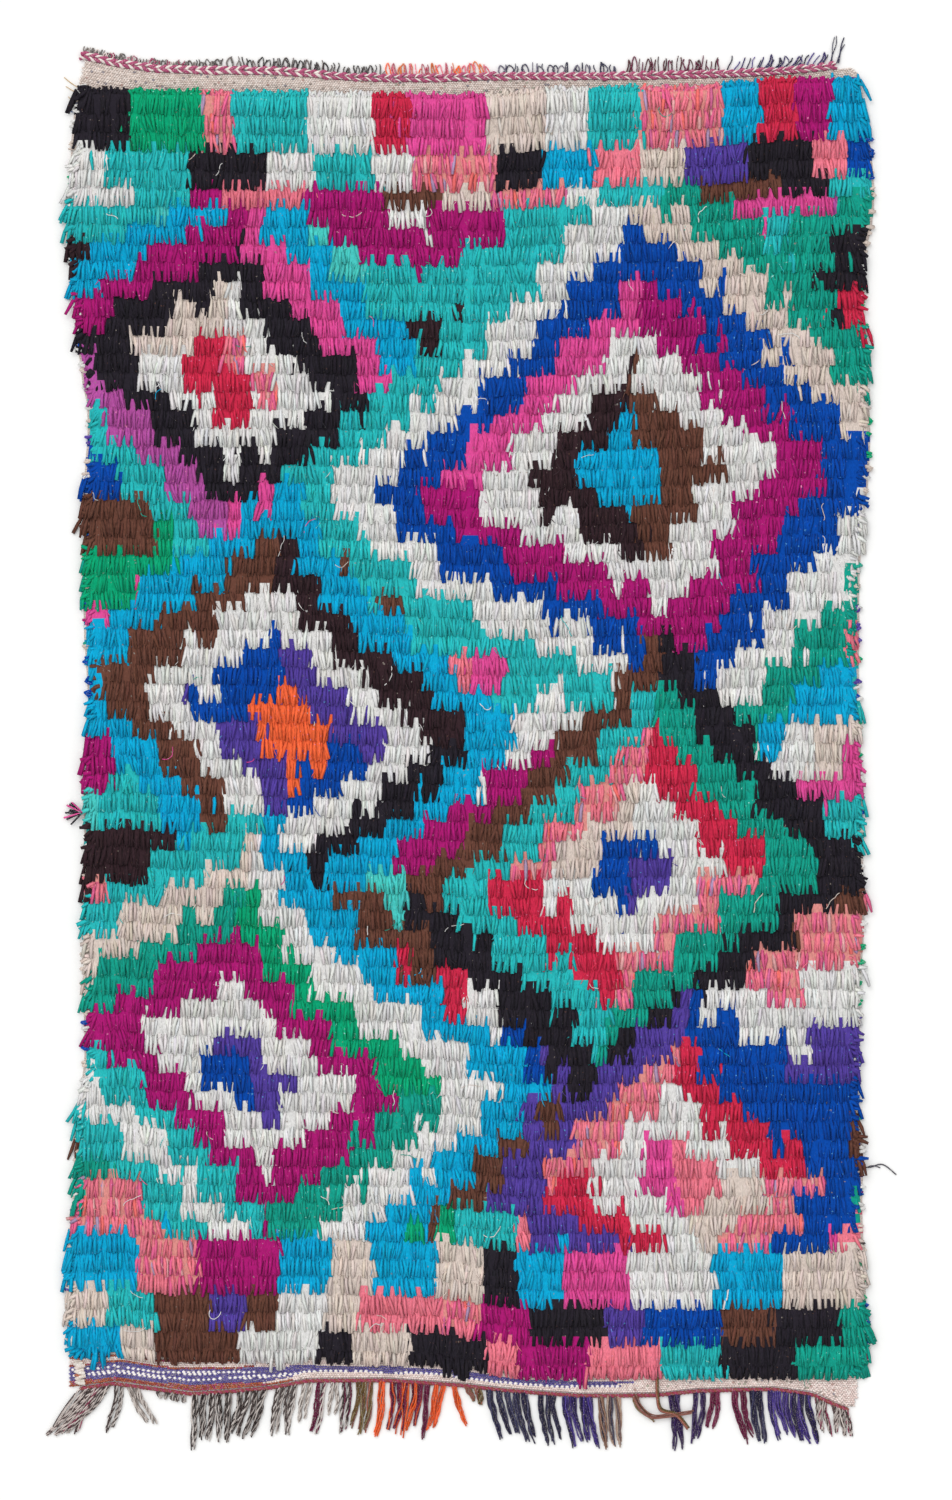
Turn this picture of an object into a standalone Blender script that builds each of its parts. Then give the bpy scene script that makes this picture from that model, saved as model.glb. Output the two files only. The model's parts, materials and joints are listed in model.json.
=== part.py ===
"""Boucherouite rug lying flat on the floor.

The rug is woven in one piece. Rows of knotted rag locks lie over each other like shingles, a
narrow flat-woven band closes each end, and a twined cord runs along each end. The warps come
out through the cords, as short cut tips at the upper end and as a long fringe at the lower end.

Metres, +Z up. X runs across the rug, and +Y points to its upper end. The floor is Z = 0.
"""

import math
import random
from collections import namedtuple

import bmesh
import bpy
from mathutils import Matrix, Vector

# The woven rectangle that the edges are drawn in from.
FULL_WIDTH = 1.420
LENGTH = 2.372

# The pile: rows of locks, each lower at its root and higher at its tip.
PILE_ROWS = 69
ROOT_HEIGHT = 0.0115
TIP_HEIGHT = 0.0195
ROOT_SET_BACK = 0.002
TIP_SET_BACK = 0.003
LUMP = 0.0032
ROOT_LUMP_SHARE = 0.4
ROW_WANDER = 0.0025
ROW_BOW = 0.003
ROW_BOW_LENGTH = 0.9

# The rim, where each row ends in one soft lobe, and the flat weave at both ends.
RIM_DEPTH = 0.013
RIM_ROOT_HEIGHT = 0.0055
RIM_TIP_HEIGHT = 0.0085
LOBE_IN = 0.005
LOBE_OUT = 0.0045
LOBE_SPREAD = 0.4
WEAVE_THICKNESS = 0.004
COLUMNS = 22
COLUMN_WANDER = 0.008
PILE_SEED = 11

# The twined cords along the ends, and what a cord and its yarns are flattened to.
UPPER_CORD_RADIUS = 0.0065
LOWER_CORD_RADIUS = 0.0042
TWIST_PITCH = 0.016
TWIST_RELIEF = 0.16
FLATTENED = 0.6
SEAT_GAP = 0.0008
WELD_DISTANCE = 0.00001

# How far down the rug, and how far each side edge is drawn in there.
SideStation = namedtuple("SideStation", "down left_in right_in")
SIDE_EDGES = (
    SideStation(0.000, 0.020, 0.058),
    SideStation(0.030, 0.018, 0.030),
    SideStation(0.090, 0.014, 0.026),
    SideStation(0.140, 0.008, 0.009),
    SideStation(0.266, 0.001, 0.000),
    SideStation(0.392, 0.009, 0.024),
    SideStation(0.455, 0.017, 0.024),
    SideStation(0.518, 0.018, 0.012),
    SideStation(0.581, 0.031, 0.014),
    SideStation(0.644, 0.038, 0.008),
    SideStation(0.770, 0.029, 0.011),
    SideStation(0.833, 0.031, 0.025),
    SideStation(0.959, 0.028, 0.028),
    SideStation(1.180, 0.037, 0.027),
    SideStation(1.274, 0.029, 0.022),
    SideStation(1.463, 0.033, 0.024),
    SideStation(1.526, 0.027, 0.017),
    SideStation(1.589, 0.029, 0.024),
    SideStation(1.778, 0.031, 0.031),
    SideStation(1.841, 0.018, 0.031),
    SideStation(1.904, 0.020, 0.020),
    SideStation(2.030, 0.012, 0.024),
    SideStation(2.093, 0.000, 0.020),
    SideStation(2.282, 0.000, 0.013),
    SideStation(2.330, 0.003, 0.030),
    SideStation(2.372, 0.004, 0.042),
)

# How far across the rug, and how far down the line runs there.
EndStation = namedtuple("EndStation", "across down")
UPPER_EDGE = (
    EndStation(0.025, 0.000),
    EndStation(0.080, 0.013),
    EndStation(0.150, 0.023),
    EndStation(0.270, 0.026),
    EndStation(0.375, 0.027),
    EndStation(0.440, 0.032),
    EndStation(0.530, 0.039),
    EndStation(0.650, 0.040),
    EndStation(0.750, 0.036),
    EndStation(0.975, 0.036),
    EndStation(1.126, 0.033),
    EndStation(1.285, 0.026),
    EndStation(1.355, 0.014),
)
PILE_START = (
    EndStation(0.000, 0.064),
    EndStation(0.300, 0.069),
    EndStation(0.700, 0.075),
    EndStation(0.850, 0.064),
    EndStation(1.100, 0.060),
    EndStation(1.250, 0.046),
    EndStation(1.420, 0.046),
)
PILE_END = (
    EndStation(0.000, 2.284),
    EndStation(0.100, 2.278),
    EndStation(0.160, 2.288),
    EndStation(0.420, 2.287),
    EndStation(0.650, 2.294),
    EndStation(0.800, 2.316),
    EndStation(0.960, 2.320),
    EndStation(1.420, 2.317),
)
LOWER_EDGE = (
    EndStation(0.000, 2.336),
    EndStation(0.056, 2.331),
    EndStation(0.090, 2.324),
    EndStation(0.123, 2.325),
    EndStation(0.179, 2.341),
    EndStation(0.223, 2.343),
    EndStation(0.333, 2.336),
    EndStation(0.411, 2.320),
    EndStation(0.556, 2.319),
    EndStation(0.665, 2.325),
    EndStation(0.755, 2.336),
    EndStation(0.900, 2.346),
    EndStation(1.011, 2.346),
    EndStation(1.127, 2.337),
    EndStation(1.229, 2.334),
    EndStation(1.302, 2.343),
    EndStation(1.370, 2.370),
)

# How far across the rug each cord reaches.
UPPER_CORD_SPAN = (0.026, 1.358)
LOWER_CORD_SPAN = (0.026, 1.377)

# The warp yarns: square in section, thinner inside the cord and at the cut tip, with their
# thickness set by their pitch up to a limit, and with a little chance in root and length.
TIP_RADIUS = 0.0038
FRINGE_RADIUS = 0.0062
RADIUS_OF_PITCH = 0.42
ROOT_SHARE = 0.45
YARN_TAPER = 0.55
SQUARE_TURN = math.pi / 4
ROOT_DRIFT = 0.08
LENGTH_SPREAD = 0.10
TIP_SPACING = 1.5
TIP_CLEARANCE = 0.0015

# Runs of warp yarns: where they start and stop across the rug, how many solid yarns stand for
# them, how long they are, how far they lean sideways, and how far they bow at the middle.
YarnRun = namedtuple("YarnRun", "start stop yarns length lean bow")
UPPER_TIPS = (
    YarnRun(0.030, 0.220, 9, 0.008, 0.003, 0.000),
    YarnRun(0.225, 0.275, 3, 0.015, 0.000, 0.000),
    YarnRun(0.285, 0.560, 15, 0.022, 0.001, 0.001),
    YarnRun(0.565, 0.745, 9, 0.020, -0.002, -0.001),
    YarnRun(0.755, 0.965, 12, 0.019, 0.001, 0.001),
    YarnRun(0.980, 1.145, 9, 0.025, 0.002, 0.001),
    YarnRun(1.155, 1.330, 9, 0.026, 0.011, -0.001),
    YarnRun(1.334, 1.356, 2, 0.054, 0.010, 0.001),
)
LOWER_FRINGE = (
    YarnRun(0.033, 0.084, 4, 0.084, -0.072, 0.004),
    YarnRun(0.086, 0.104, 2, 0.082, -0.018, 0.002),
    YarnRun(0.106, 0.130, 2, 0.066, 0.032, -0.003),
    YarnRun(0.160, 0.214, 5, 0.016, 0.000, 0.000),
    YarnRun(0.219, 0.292, 5, 0.090, -0.004, 0.002),
    YarnRun(0.297, 0.356, 4, 0.080, -0.034, 0.003),
    YarnRun(0.368, 0.410, 4, 0.088, -0.013, -0.002),
    YarnRun(0.414, 0.434, 2, 0.068, -0.010, 0.001),
    YarnRun(0.440, 0.460, 2, 0.100, -0.018, 0.002),
    YarnRun(0.463, 0.481, 2, 0.066, -0.006, 0.001),
    YarnRun(0.484, 0.502, 2, 0.092, -0.006, 0.001),
    YarnRun(0.508, 0.540, 3, 0.088, -0.011, 0.003),
    YarnRun(0.546, 0.562, 1, 0.100, -0.012, 0.003),
    YarnRun(0.568, 0.640, 6, 0.088, -0.010, 0.002),
    YarnRun(0.645, 0.667, 2, 0.080, -0.018, 0.003),
    YarnRun(0.674, 0.686, 1, 0.075, 0.024, -0.005),
    YarnRun(0.696, 0.730, 2, 0.030, 0.006, 0.000),
    YarnRun(0.736, 0.812, 5, 0.084, 0.020, -0.005),
    YarnRun(0.828, 0.860, 3, 0.085, 0.010, -0.003),
    YarnRun(0.868, 0.924, 4, 0.088, 0.014, -0.003),
    YarnRun(0.930, 0.972, 3, 0.090, 0.009, -0.002),
    YarnRun(0.990, 1.008, 1, 0.042, 0.030, -0.006),
    YarnRun(1.052, 1.076, 2, 0.096, 0.008, 0.001),
    YarnRun(1.098, 1.120, 2, 0.084, -0.006, 0.002),
    YarnRun(1.126, 1.146, 2, 0.072, -0.008, 0.002),
    YarnRun(1.164, 1.190, 2, 0.086, 0.020, -0.004),
    YarnRun(1.194, 1.220, 2, 0.090, 0.012, -0.002),
    YarnRun(1.228, 1.306, 6, 0.086, 0.015, -0.004),
    YarnRun(1.310, 1.332, 2, 0.064, 0.012, -0.002),
    YarnRun(1.337, 1.372, 3, 0.050, 0.008, 0.001),
)

# Colour, roughness and metallic value of each piece.
PieceFinish = namedtuple("PieceFinish", "colour roughness metallic")
RAG_PILE = PieceFinish((0.05, 0.36, 0.46, 1.0), 0.95, 0.0)
UPPER_YARN = PieceFinish((0.40, 0.10, 0.18, 1.0), 0.9, 0.0)
LOWER_YARN = PieceFinish((0.22, 0.17, 0.19, 1.0), 0.9, 0.0)


def clear_scene():
    for obj in list(bpy.data.objects):
        bpy.data.objects.remove(obj)


def collection_named(name):
    made = bpy.data.collections.new(name)
    bpy.context.scene.collection.children.link(made)
    return made


def eased(table, key, at, column):
    """The value of a table's column at a place between its rows, on a smooth line."""
    if at <= getattr(table[0], key):
        return getattr(table[0], column)
    for low, high in zip(table, table[1:]):
        if at <= getattr(high, key):
            share = (at - getattr(low, key)) / (getattr(high, key) - getattr(low, key))
            share = share * share * (3 - 2 * share)
            return getattr(low, column) + share * (getattr(high, column) - getattr(low, column))
    return getattr(table[-1], column)


def side_edges(down):
    """Left and right edge, across the rug, at a distance down it."""
    left = eased(SIDE_EDGES, "down", down, "left_in")
    right = FULL_WIDTH - eased(SIDE_EDGES, "down", down, "right_in")
    return left, right


def line_down(table, across):
    return eased(table, "across", across, "down")


def row_down(row, across):
    """Where a row of knots runs: between the pile's two end lines, with a slight bow."""
    share = row / PILE_ROWS
    start = line_down(PILE_START, across)
    end = line_down(PILE_END, across)
    bow = ROW_BOW * math.sin(2 * math.pi * (across / ROW_BOW_LENGTH + share))
    return start + share * (end - start) + bow * math.sin(math.pi * share)


def place(across, down, height):
    """A point of the rug, from its distances across and down, as X, Y and Z."""
    return Vector((across - FULL_WIDTH / 2, LENGTH / 2 - down, height))


def station_lines():
    """The lines across the rug, top to bottom, as pairs of their kind and their row."""
    rows = [(kind, row) for row in range(PILE_ROWS) for kind in ("root", "tip")]
    return [("upper_end", 0), ("upper_band", 0), *rows, ("lower_band", 0), ("lower_end", 0)]


def station_down(kind, row, across):
    """How far down the rug a line of one kind runs, at a distance across it."""
    if kind == "upper_end":
        return line_down(UPPER_EDGE, across) + 2 * UPPER_CORD_RADIUS + SEAT_GAP
    if kind == "upper_band":
        return line_down(PILE_START, across) - ROOT_SET_BACK
    if kind == "root":
        return row_down(row, across) + ROOT_SET_BACK
    if kind == "tip":
        return row_down(row + 1, across) - TIP_SET_BACK
    if kind == "lower_band":
        return line_down(PILE_END, across) + ROOT_SET_BACK
    return line_down(LOWER_EDGE, across)


def column_across(column, down, lobe):
    """Where a column of points stands across the rug. The outermost follow the side edges."""
    left, right = side_edges(down)
    if column in (0, COLUMNS):
        return left - lobe if column == 0 else right + lobe
    inner_left, inner_right = left + RIM_DEPTH, right - RIM_DEPTH
    return inner_left + (column - 1) / (COLUMNS - 2) * (inner_right - inner_left)


def body_point(column, kind, row, dice):
    """One point of the rug's upper face. Every draw is made each time, so the order is fixed."""
    lump, wander, sideways, lobe = (dice.uniform(-1, 1) for _ in range(4))
    on_rim = column in (0, COLUMNS)
    in_pile = kind in ("root", "tip")
    guess = FULL_WIDTH * column / COLUMNS
    reach = {"root": -LOBE_IN, "tip": LOBE_OUT}.get(kind, 0.0) * (1 + LOBE_SPREAD * lobe)
    down = station_down(kind, row, guess)
    across = column_across(column, down, reach)
    if in_pile and 1 < column < COLUMNS - 1:
        across += COLUMN_WANDER * sideways
    down = station_down(kind, row, across)
    if kind == "tip":
        down += ROW_WANDER * wander
    height = WEAVE_THICKNESS
    if in_pile and on_rim:
        height = RIM_ROOT_HEIGHT if kind == "root" else RIM_TIP_HEIGHT
    elif in_pile:
        height = ROOT_HEIGHT if kind == "root" else TIP_HEIGHT
        height += LUMP * lump * (ROOT_LUMP_SHARE if kind == "root" else 1.0)
    return place(across, down, height)


def principled(name, finish):
    material = bpy.data.materials.new(name)
    material.use_nodes = True
    shader = material.node_tree.nodes["Principled BSDF"]
    shader.inputs["Base Color"].default_value = finish.colour
    shader.inputs["Roughness"].default_value = finish.roughness
    shader.inputs["Metallic"].default_value = finish.metallic
    return material


def object_of(mesh_builder, name, collection, finish=None):
    mesh = bpy.data.meshes.new(name)
    mesh_builder.to_mesh(mesh)
    mesh_builder.free()
    obj = bpy.data.objects.new(name, mesh)
    collection.objects.link(obj)
    if finish:
        mesh.materials.append(principled(name, finish))
    return obj


def make_body(collection):
    """The woven piece: a grid bent to the rug's lumpy face, with straight walls and a flat back."""
    dice = random.Random(PILE_SEED)
    lines = station_lines()
    builder = bmesh.new()
    bmesh.ops.create_grid(builder, x_segments=COLUMNS, y_segments=len(lines) - 1, size=0.5)
    by_place = sorted(builder.verts, key=lambda v: (-round(v.co.y, 4), round(v.co.x, 4)))
    upper_end = []
    lower_end = []
    for number, vertex in enumerate(by_place):
        line, column = divmod(number, COLUMNS + 1)
        kind, row = lines[line]
        vertex.co = body_point(column, kind, row, dice)
        if kind == "upper_end":
            upper_end.append(vertex.co.copy())
        elif kind == "lower_end":
            lower_end.append(vertex.co.copy())
    rim = [edge for edge in builder.edges if edge.is_boundary]
    wall = bmesh.ops.extrude_edge_only(builder, edges=rim)["geom"]
    for vertex in (item for item in wall if isinstance(item, bmesh.types.BMVert)):
        vertex.co.z = 0.0
    foot = [edge for edge in builder.edges if edge.is_boundary]
    bmesh.ops.contextual_create(builder, geom=foot)
    bmesh.ops.recalc_face_normals(builder, faces=builder.faces)
    body = object_of(builder, "rag_pile_body", collection, RAG_PILE)
    return body, upper_end, lower_end


def on_line(points, x):
    """The Y of a line of straight stretches at X, and its slope there."""
    for low, high in zip(points, points[1:]):
        if x <= high.x or high is points[-1]:
            slope = (high.y - low.y) / (high.x - low.x)
            return low.y + slope * (x - low.x), slope
    raise ValueError("a line needs two points")


def cord_route(edge, span, radius, outwards):
    """Stations of a twined cord laid against an end of the rug, half a twist apart."""
    clear = radius + SEAT_GAP
    first = max(edge[0].x + radius, span[0] - FULL_WIDTH / 2)
    last = min(edge[-1].x - radius, span[1] - FULL_WIDTH / 2)
    count = int(2 * (last - first) / TWIST_PITCH)
    route = []
    for number in range(count + 1):
        x = first + number * (last - first) / count
        y, slope = on_line(edge, x)
        relief = 1.0 - TWIST_RELIEF * (number % 2)
        route.append((Vector((x, y + outwards * clear * math.hypot(1, slope), radius)), relief))
    return route


def tube_curve(name, runs, extra_sides, turn):
    """A curve object of straight-stretch splines, each a list of point and radius.

    A section has four sides and two more for each extra, turned about its line.
    """
    curve = bpy.data.curves.new(name, "CURVE")
    curve.dimensions = "3D"
    curve.bevel_depth = 1.0
    curve.bevel_resolution = extra_sides
    curve.use_fill_caps = True
    for run in runs:
        spline = curve.splines.new("POLY")
        spline.points.add(len(run) - 1)
        for target, (point, radius) in zip(spline.points, run):
            target.co = (*point, 1.0)
            target.radius = radius
            target.tilt = turn
    return bpy.data.objects.new(name, curve)


def mesh_from_curve(curve_object, name, collection):
    """The tube as a closed mesh with its caps welded on, pressed down towards the floor."""
    collection.objects.link(curve_object)
    graph = bpy.context.evaluated_depsgraph_get()
    mesh = bpy.data.meshes.new_from_object(curve_object.evaluated_get(graph))
    builder = bmesh.new()
    builder.from_mesh(mesh)
    bmesh.ops.remove_doubles(builder, verts=builder.verts, dist=WELD_DISTANCE)
    bmesh.ops.transform(builder, matrix=Matrix.Diagonal((1, 1, FLATTENED, 1)), verts=builder.verts)
    bmesh.ops.recalc_face_normals(builder, faces=builder.faces)
    bpy.data.meshes.remove(mesh)
    bpy.data.objects.remove(curve_object)
    return object_of(builder, name, collection)


def floor_point(x, y, radius):
    """A station of a square yarn that lies with one side on the floor."""
    return Vector((x, y, radius * math.cos(SQUARE_TURN))), radius


def yarn_route(root, tip_x, length, bow, radii, outwards):
    """Stations of a warp yarn, from inside its cord to its cut tip."""
    cord_radius, radius = radii
    clear_y = root.y + outwards * (cord_radius + radius * ROOT_SHARE)
    tip_y = root.y + outwards * length
    first_x = root.x + (tip_x - root.x) * abs(clear_y - root.y) / length
    middle_x = (first_x + tip_x) / 2 + bow
    return [
        (Vector((root.x, root.y, cord_radius)), radius * ROOT_SHARE),
        floor_point(first_x, clear_y, radius),
        floor_point(middle_x, (clear_y + tip_y) / 2, radius),
        floor_point(tip_x, tip_y, radius * YARN_TAPER),
    ]


def yarn_routes(runs, route, cord_radius, thickest, outwards, dice):
    """All the warp yarns of one cord, left to right, with no two crossing."""
    cord_line = [point for point, _ in route]
    yarns = []
    last_tip = -FULL_WIDTH
    for run in runs:
        pitch = (run.stop - run.start) / run.yarns
        radius = min(thickest, RADIUS_OF_PITCH * pitch)
        for number in range(run.yarns):
            drift, stretch = dice.uniform(-ROOT_DRIFT, ROOT_DRIFT), dice.uniform(-1, 1)
            root_x = run.start - FULL_WIDTH / 2 + (number + 0.5 + drift) * pitch
            root_y, _ = on_line(cord_line, root_x)
            length = max(run.length * (1 + LENGTH_SPREAD * stretch), cord_radius + 2 * radius)
            tip_x = max(root_x + run.lean, last_tip + TIP_SPACING * radius + TIP_CLEARANCE)
            last_tip = tip_x
            root = Vector((root_x, root_y, 0.0))
            yarns.append(yarn_route(root, tip_x, length, run.bow, (cord_radius, radius), outwards))
    return yarns


CordPlan = namedtuple("CordPlan", "name outwards radius span runs thickest finish")
UPPER_CORD = CordPlan(
    "upper_warp_tips",
    1,
    UPPER_CORD_RADIUS,
    UPPER_CORD_SPAN,
    UPPER_TIPS,
    TIP_RADIUS,
    UPPER_YARN,
)
LOWER_CORD = CordPlan(
    "lower_warp_fringe",
    -1,
    LOWER_CORD_RADIUS,
    LOWER_CORD_SPAN,
    LOWER_FRINGE,
    FRINGE_RADIUS,
    LOWER_YARN,
)


def make_fringe(plan, edge, rug, helpers):
    """A twined cord with the warp yarns that come out of it, joined at their roots."""
    dice = random.Random(plan.name)
    route = cord_route(edge, plan.span, plan.radius, plan.outwards)
    cord_run = [(point, plan.radius * relief) for point, relief in route]
    cord = mesh_from_curve(tube_curve(plan.name + "_line", [cord_run], 1, 0.0), plan.name, rug)
    cord.data.materials.append(principled(plan.name, plan.finish))
    yarns = yarn_routes(plan.runs, route, plan.radius, plan.thickest, plan.outwards, dice)
    yarn_name = plan.name + "_yarns"
    yarn_lines = tube_curve(yarn_name + "_line", yarns, 0, SQUARE_TURN)
    bundle = mesh_from_curve(yarn_lines, yarn_name, helpers)
    bundle.hide_render = True
    bundle.display_type = "WIRE"
    joined = cord.modifiers.new("yarns_into_cord", "BOOLEAN")
    joined.operation = "UNION"
    joined.solver = "EXACT"
    joined.object = bundle
    return cord, bundle


def centre_on_floor(pieces, helpers, collection):
    """Hangs everything on one empty that brings the middle of the floor area to the origin."""
    bpy.context.view_layer.update()
    graph = bpy.context.evaluated_depsgraph_get()
    corners = [Vector(corner) for piece in pieces for corner in piece.evaluated_get(graph).bound_box]
    low = Vector(min(corner[axis] for corner in corners) for axis in range(3))
    high = Vector(max(corner[axis] for corner in corners) for axis in range(3))
    middle = bpy.data.objects.new("rug_middle", None)
    collection.objects.link(middle)
    for obj in (*pieces, *helpers):
        obj.parent = middle
    middle.location = (-(low.x + high.x) / 2, -(low.y + high.y) / 2, 0.0)


def main():
    clear_scene()
    rug = collection_named("boucherouite_rug")
    helpers = collection_named("fringe_yarns")
    body, upper_end, lower_end = make_body(rug)
    upper, upper_yarns = make_fringe(UPPER_CORD, upper_end, rug, helpers)
    lower, lower_yarns = make_fringe(LOWER_CORD, lower_end, rug, helpers)
    centre_on_floor((body, upper, lower), (upper_yarns, lower_yarns), rug)


main()
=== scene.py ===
"""Boucherouite rug lying flat on a pale studio floor, seen from straight above.

The sections follow the rug: the ground weave with the weaver's plan of colours, the knotted rag
pile, the turns of rag along its long sides, the loose threads on it, the flat-woven ends, the
twined cord with its warp tips at the upper end, and the cord and fringe at the lower end. Metres,
X across the rug, +Y to its upper end, the floor at Z = 0.
"""

import json
import math
import random
from collections import namedtuple

import bpy
import numpy as np
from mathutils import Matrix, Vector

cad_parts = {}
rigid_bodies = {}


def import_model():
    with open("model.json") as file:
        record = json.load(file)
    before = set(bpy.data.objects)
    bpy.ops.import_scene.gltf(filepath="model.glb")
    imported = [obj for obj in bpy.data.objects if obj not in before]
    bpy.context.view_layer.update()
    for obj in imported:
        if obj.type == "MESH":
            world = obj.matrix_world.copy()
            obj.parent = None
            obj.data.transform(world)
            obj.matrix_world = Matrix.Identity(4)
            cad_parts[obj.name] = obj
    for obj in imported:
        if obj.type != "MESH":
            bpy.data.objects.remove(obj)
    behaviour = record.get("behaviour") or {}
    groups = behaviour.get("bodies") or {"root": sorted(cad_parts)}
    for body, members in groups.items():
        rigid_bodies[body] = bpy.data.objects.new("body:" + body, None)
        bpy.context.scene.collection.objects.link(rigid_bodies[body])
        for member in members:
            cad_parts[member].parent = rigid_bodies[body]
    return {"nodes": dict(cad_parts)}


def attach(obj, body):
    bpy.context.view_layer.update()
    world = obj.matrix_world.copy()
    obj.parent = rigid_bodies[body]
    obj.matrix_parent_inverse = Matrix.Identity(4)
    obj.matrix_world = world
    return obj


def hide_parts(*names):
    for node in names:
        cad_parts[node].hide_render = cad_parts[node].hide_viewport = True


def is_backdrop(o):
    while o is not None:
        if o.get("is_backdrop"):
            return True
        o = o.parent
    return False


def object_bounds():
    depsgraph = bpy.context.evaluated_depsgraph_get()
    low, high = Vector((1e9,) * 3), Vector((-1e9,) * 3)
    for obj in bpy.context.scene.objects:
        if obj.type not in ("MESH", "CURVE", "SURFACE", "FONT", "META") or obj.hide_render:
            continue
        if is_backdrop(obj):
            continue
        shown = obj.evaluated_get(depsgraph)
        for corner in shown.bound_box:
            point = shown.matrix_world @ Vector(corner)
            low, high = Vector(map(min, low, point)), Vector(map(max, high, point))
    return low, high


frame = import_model()
cad_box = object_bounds()


# Ground weave with the backs of its knots
# A thin cotton and wool cloth with a row of rag knots to every few wefts. Seen from below, the
# knots are rows of coloured dashes with plain wefts between them. It is woven on the loom in one.

# The corner that distances across and down the rug are measured from, and the rows of knots.
CORNER_X = -0.6950
CORNER_Y = 1.2106
RUG_WIDTH = 1.420
PILE_ROWS = 69
ROW_BOW = 0.003
ROW_BOW_LENGTH = 0.9

# Where the first row starts and the last one ends: how far across, and how far down.
PILE_START = ((0.0, 0.064), (0.3, 0.069), (0.7, 0.075), (0.85, 0.064), (1.1, 0.060), (1.25, 0.046))
PILE_END = ((0.0, 2.284), (0.10, 2.278), (0.16, 2.288), (0.42, 2.287), (0.65, 2.294), (0.80, 2.316))

WEAVE_THICKNESS = 0.003
WEAVE_COLUMNS = 110
WEAVE_INSET = 0.003
WEAVE_LIFT = 0.0003
END_STATIONS = 5
CORNER_FROM = 1.130
CORNER_HEIGHT = 0.055
CORNER_DRAWN_IN = 0.013

# Dyes of the rags, as they look in daylight.
DYES = {
    "white": "DBDAD8",
    "beige": "D3C4BA",
    "black": "28242C",
    "brown_black": "36252A",
    "brown": "694337",
    "light_brown": "7E4D3E",
    "royal": "0848A6",
    "cyan": "0AA5D2",
    "turquoise": "28B6B8",
    "sea": "48C6C0",
    "teal": "149C88",
    "emerald": "08A272",
    "magenta": "A91A70",
    "pink": "DC4C95",
    "salmon": "EA7A8C",
    "purple": "54409A",
    "orchid": "B2519F",
    "red": "CC2B4B",
    "orange": "F2683C",
    "mixed": "D98C86",
}
DYE_NAMES = list(DYES)

# The plan is a generic one of traditional stepped motifs. Lozenges of nested bands lie on a
# ground of zigzag bands: how far across and in which row the middle is, how wide and how many
# rows tall a band is, how the motif leans with each row, and its bands from the middle outwards.
Lozenge = namedtuple("Lozenge", "across row wide tall lean bands")
LOZENGES = (
    Lozenge(0.30, 15.0, 0.088, 2.5, 0.000, "red white black magenta cyan"),
    Lozenge(1.02, 20.0, 0.092, 2.6, 0.004, "cyan black white magenta royal white turquoise"),
    Lozenge(0.36, 33.5, 0.080, 2.7, -0.004, "orange purple white black cyan"),
    Lozenge(0.98, 41.5, 0.080, 2.5, -0.003, "royal white red turquoise black"),
    Lozenge(0.34, 52.5, 0.090, 2.5, 0.003, "purple white magenta teal white cyan"),
    Lozenge(1.10, 58.0, 0.085, 2.4, 0.000, "pink white red royal"),
)
ZIGZAG = "cyan white magenta turquoise black red white royal purple brown teal pink".split()
ZIGZAG_PERIOD = 0.62
ZIGZAG_RISE = 4.5
ZIGZAG_TALL = 2.7
STEP_ROWS = 1.5
STRETCH_WIDTH = 0.37
STRETCH_SHIFT = 0.07
END_BLOCK_ROWS = ((0, 2), (3, 4), (5, 5), (62, 64), (65, 66), (67, 68))
END_BLOCK_WIDTH = (0.05, 0.15)
END_BLOCK_DYES = """magenta magenta cyan cyan cyan white white turquoise turquoise teal black black
    pink salmon mixed brown royal red emerald beige beige purple""".split()
PLAN_SEED = 5

# Rags that a weaver runs on with when a dye runs out in the middle of a band.
DYE_LOTS = {
    "white": "white white white white beige white",
    "black": "black brown_black black brown",
    "brown": "brown light_brown brown black",
    "royal": "royal royal royal purple",
    "cyan": "cyan cyan turquoise cyan",
    "turquoise": "turquoise sea teal turquoise",
    "teal": "teal turquoise emerald",
    "emerald": "emerald teal",
    "magenta": "magenta magenta pink magenta orchid magenta pink magenta",
    "pink": "pink pink salmon mixed",
    "purple": "purple royal purple",
    "red": "red red mixed",
    "orange": "orange red",
    "beige": "beige white beige",
}

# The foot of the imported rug. Its sides lie beyond one distance from the middle, its ends beyond
# others, and a point of the rim is one that stands out furthest among its near neighbours.
FOOT_HEIGHT = 0.0001
SIDE_FROM = 0.6
UPPER_END_FROM = 1.15
LOWER_END_FROM = 1.1075
RIM_NEAR = 0.01
RIM_DEPTH = 0.012
feet = [v.co for v in frame["nodes"]["rag_pile_body"].data.vertices if v.co.z < FOOT_HEIGHT]
feet = np.unique(np.array(feet).round(5), axis=0)


def rim_of(side):
    """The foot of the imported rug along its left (-1) or right (1) side, as X over Y."""
    flank = feet[side * feet[:, 0] > SIDE_FROM]
    kept = []
    for foot in flank:
        near = flank[abs(flank[:, 1] - foot[1]) < RIM_NEAR]
        if side * foot[0] > (side * near[:, 0]).max() - RIM_DEPTH:
            kept.append(foot)
    kept = np.array(kept)
    kept = kept[kept[:, 1].argsort()]
    smooth = np.convolve(np.pad(kept[:, 0], 2, "edge"), np.ones(5) / 5, "valid")
    return kept[:, 1], smooth


LEFT_RIM = rim_of(-1)
RIGHT_RIM = rim_of(1)


def side_edges(y):
    """X of the rug's left and right edge at Y. The cloth's upper left corner is drawn in."""
    drawn_in = CORNER_DRAWN_IN * np.clip((y - CORNER_FROM) / CORNER_HEIGHT, 0, 1)
    return np.interp(y, *LEFT_RIM) + drawn_in, np.interp(y, *RIGHT_RIM)


def end_line(side, start):
    """The end of the woven cloth, upper (1) or lower (-1), as Y over X."""
    line = feet[side * feet[:, 1] > start]
    line = line[line[:, 0].argsort()]
    return line[:, 0], line[:, 1]


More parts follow.
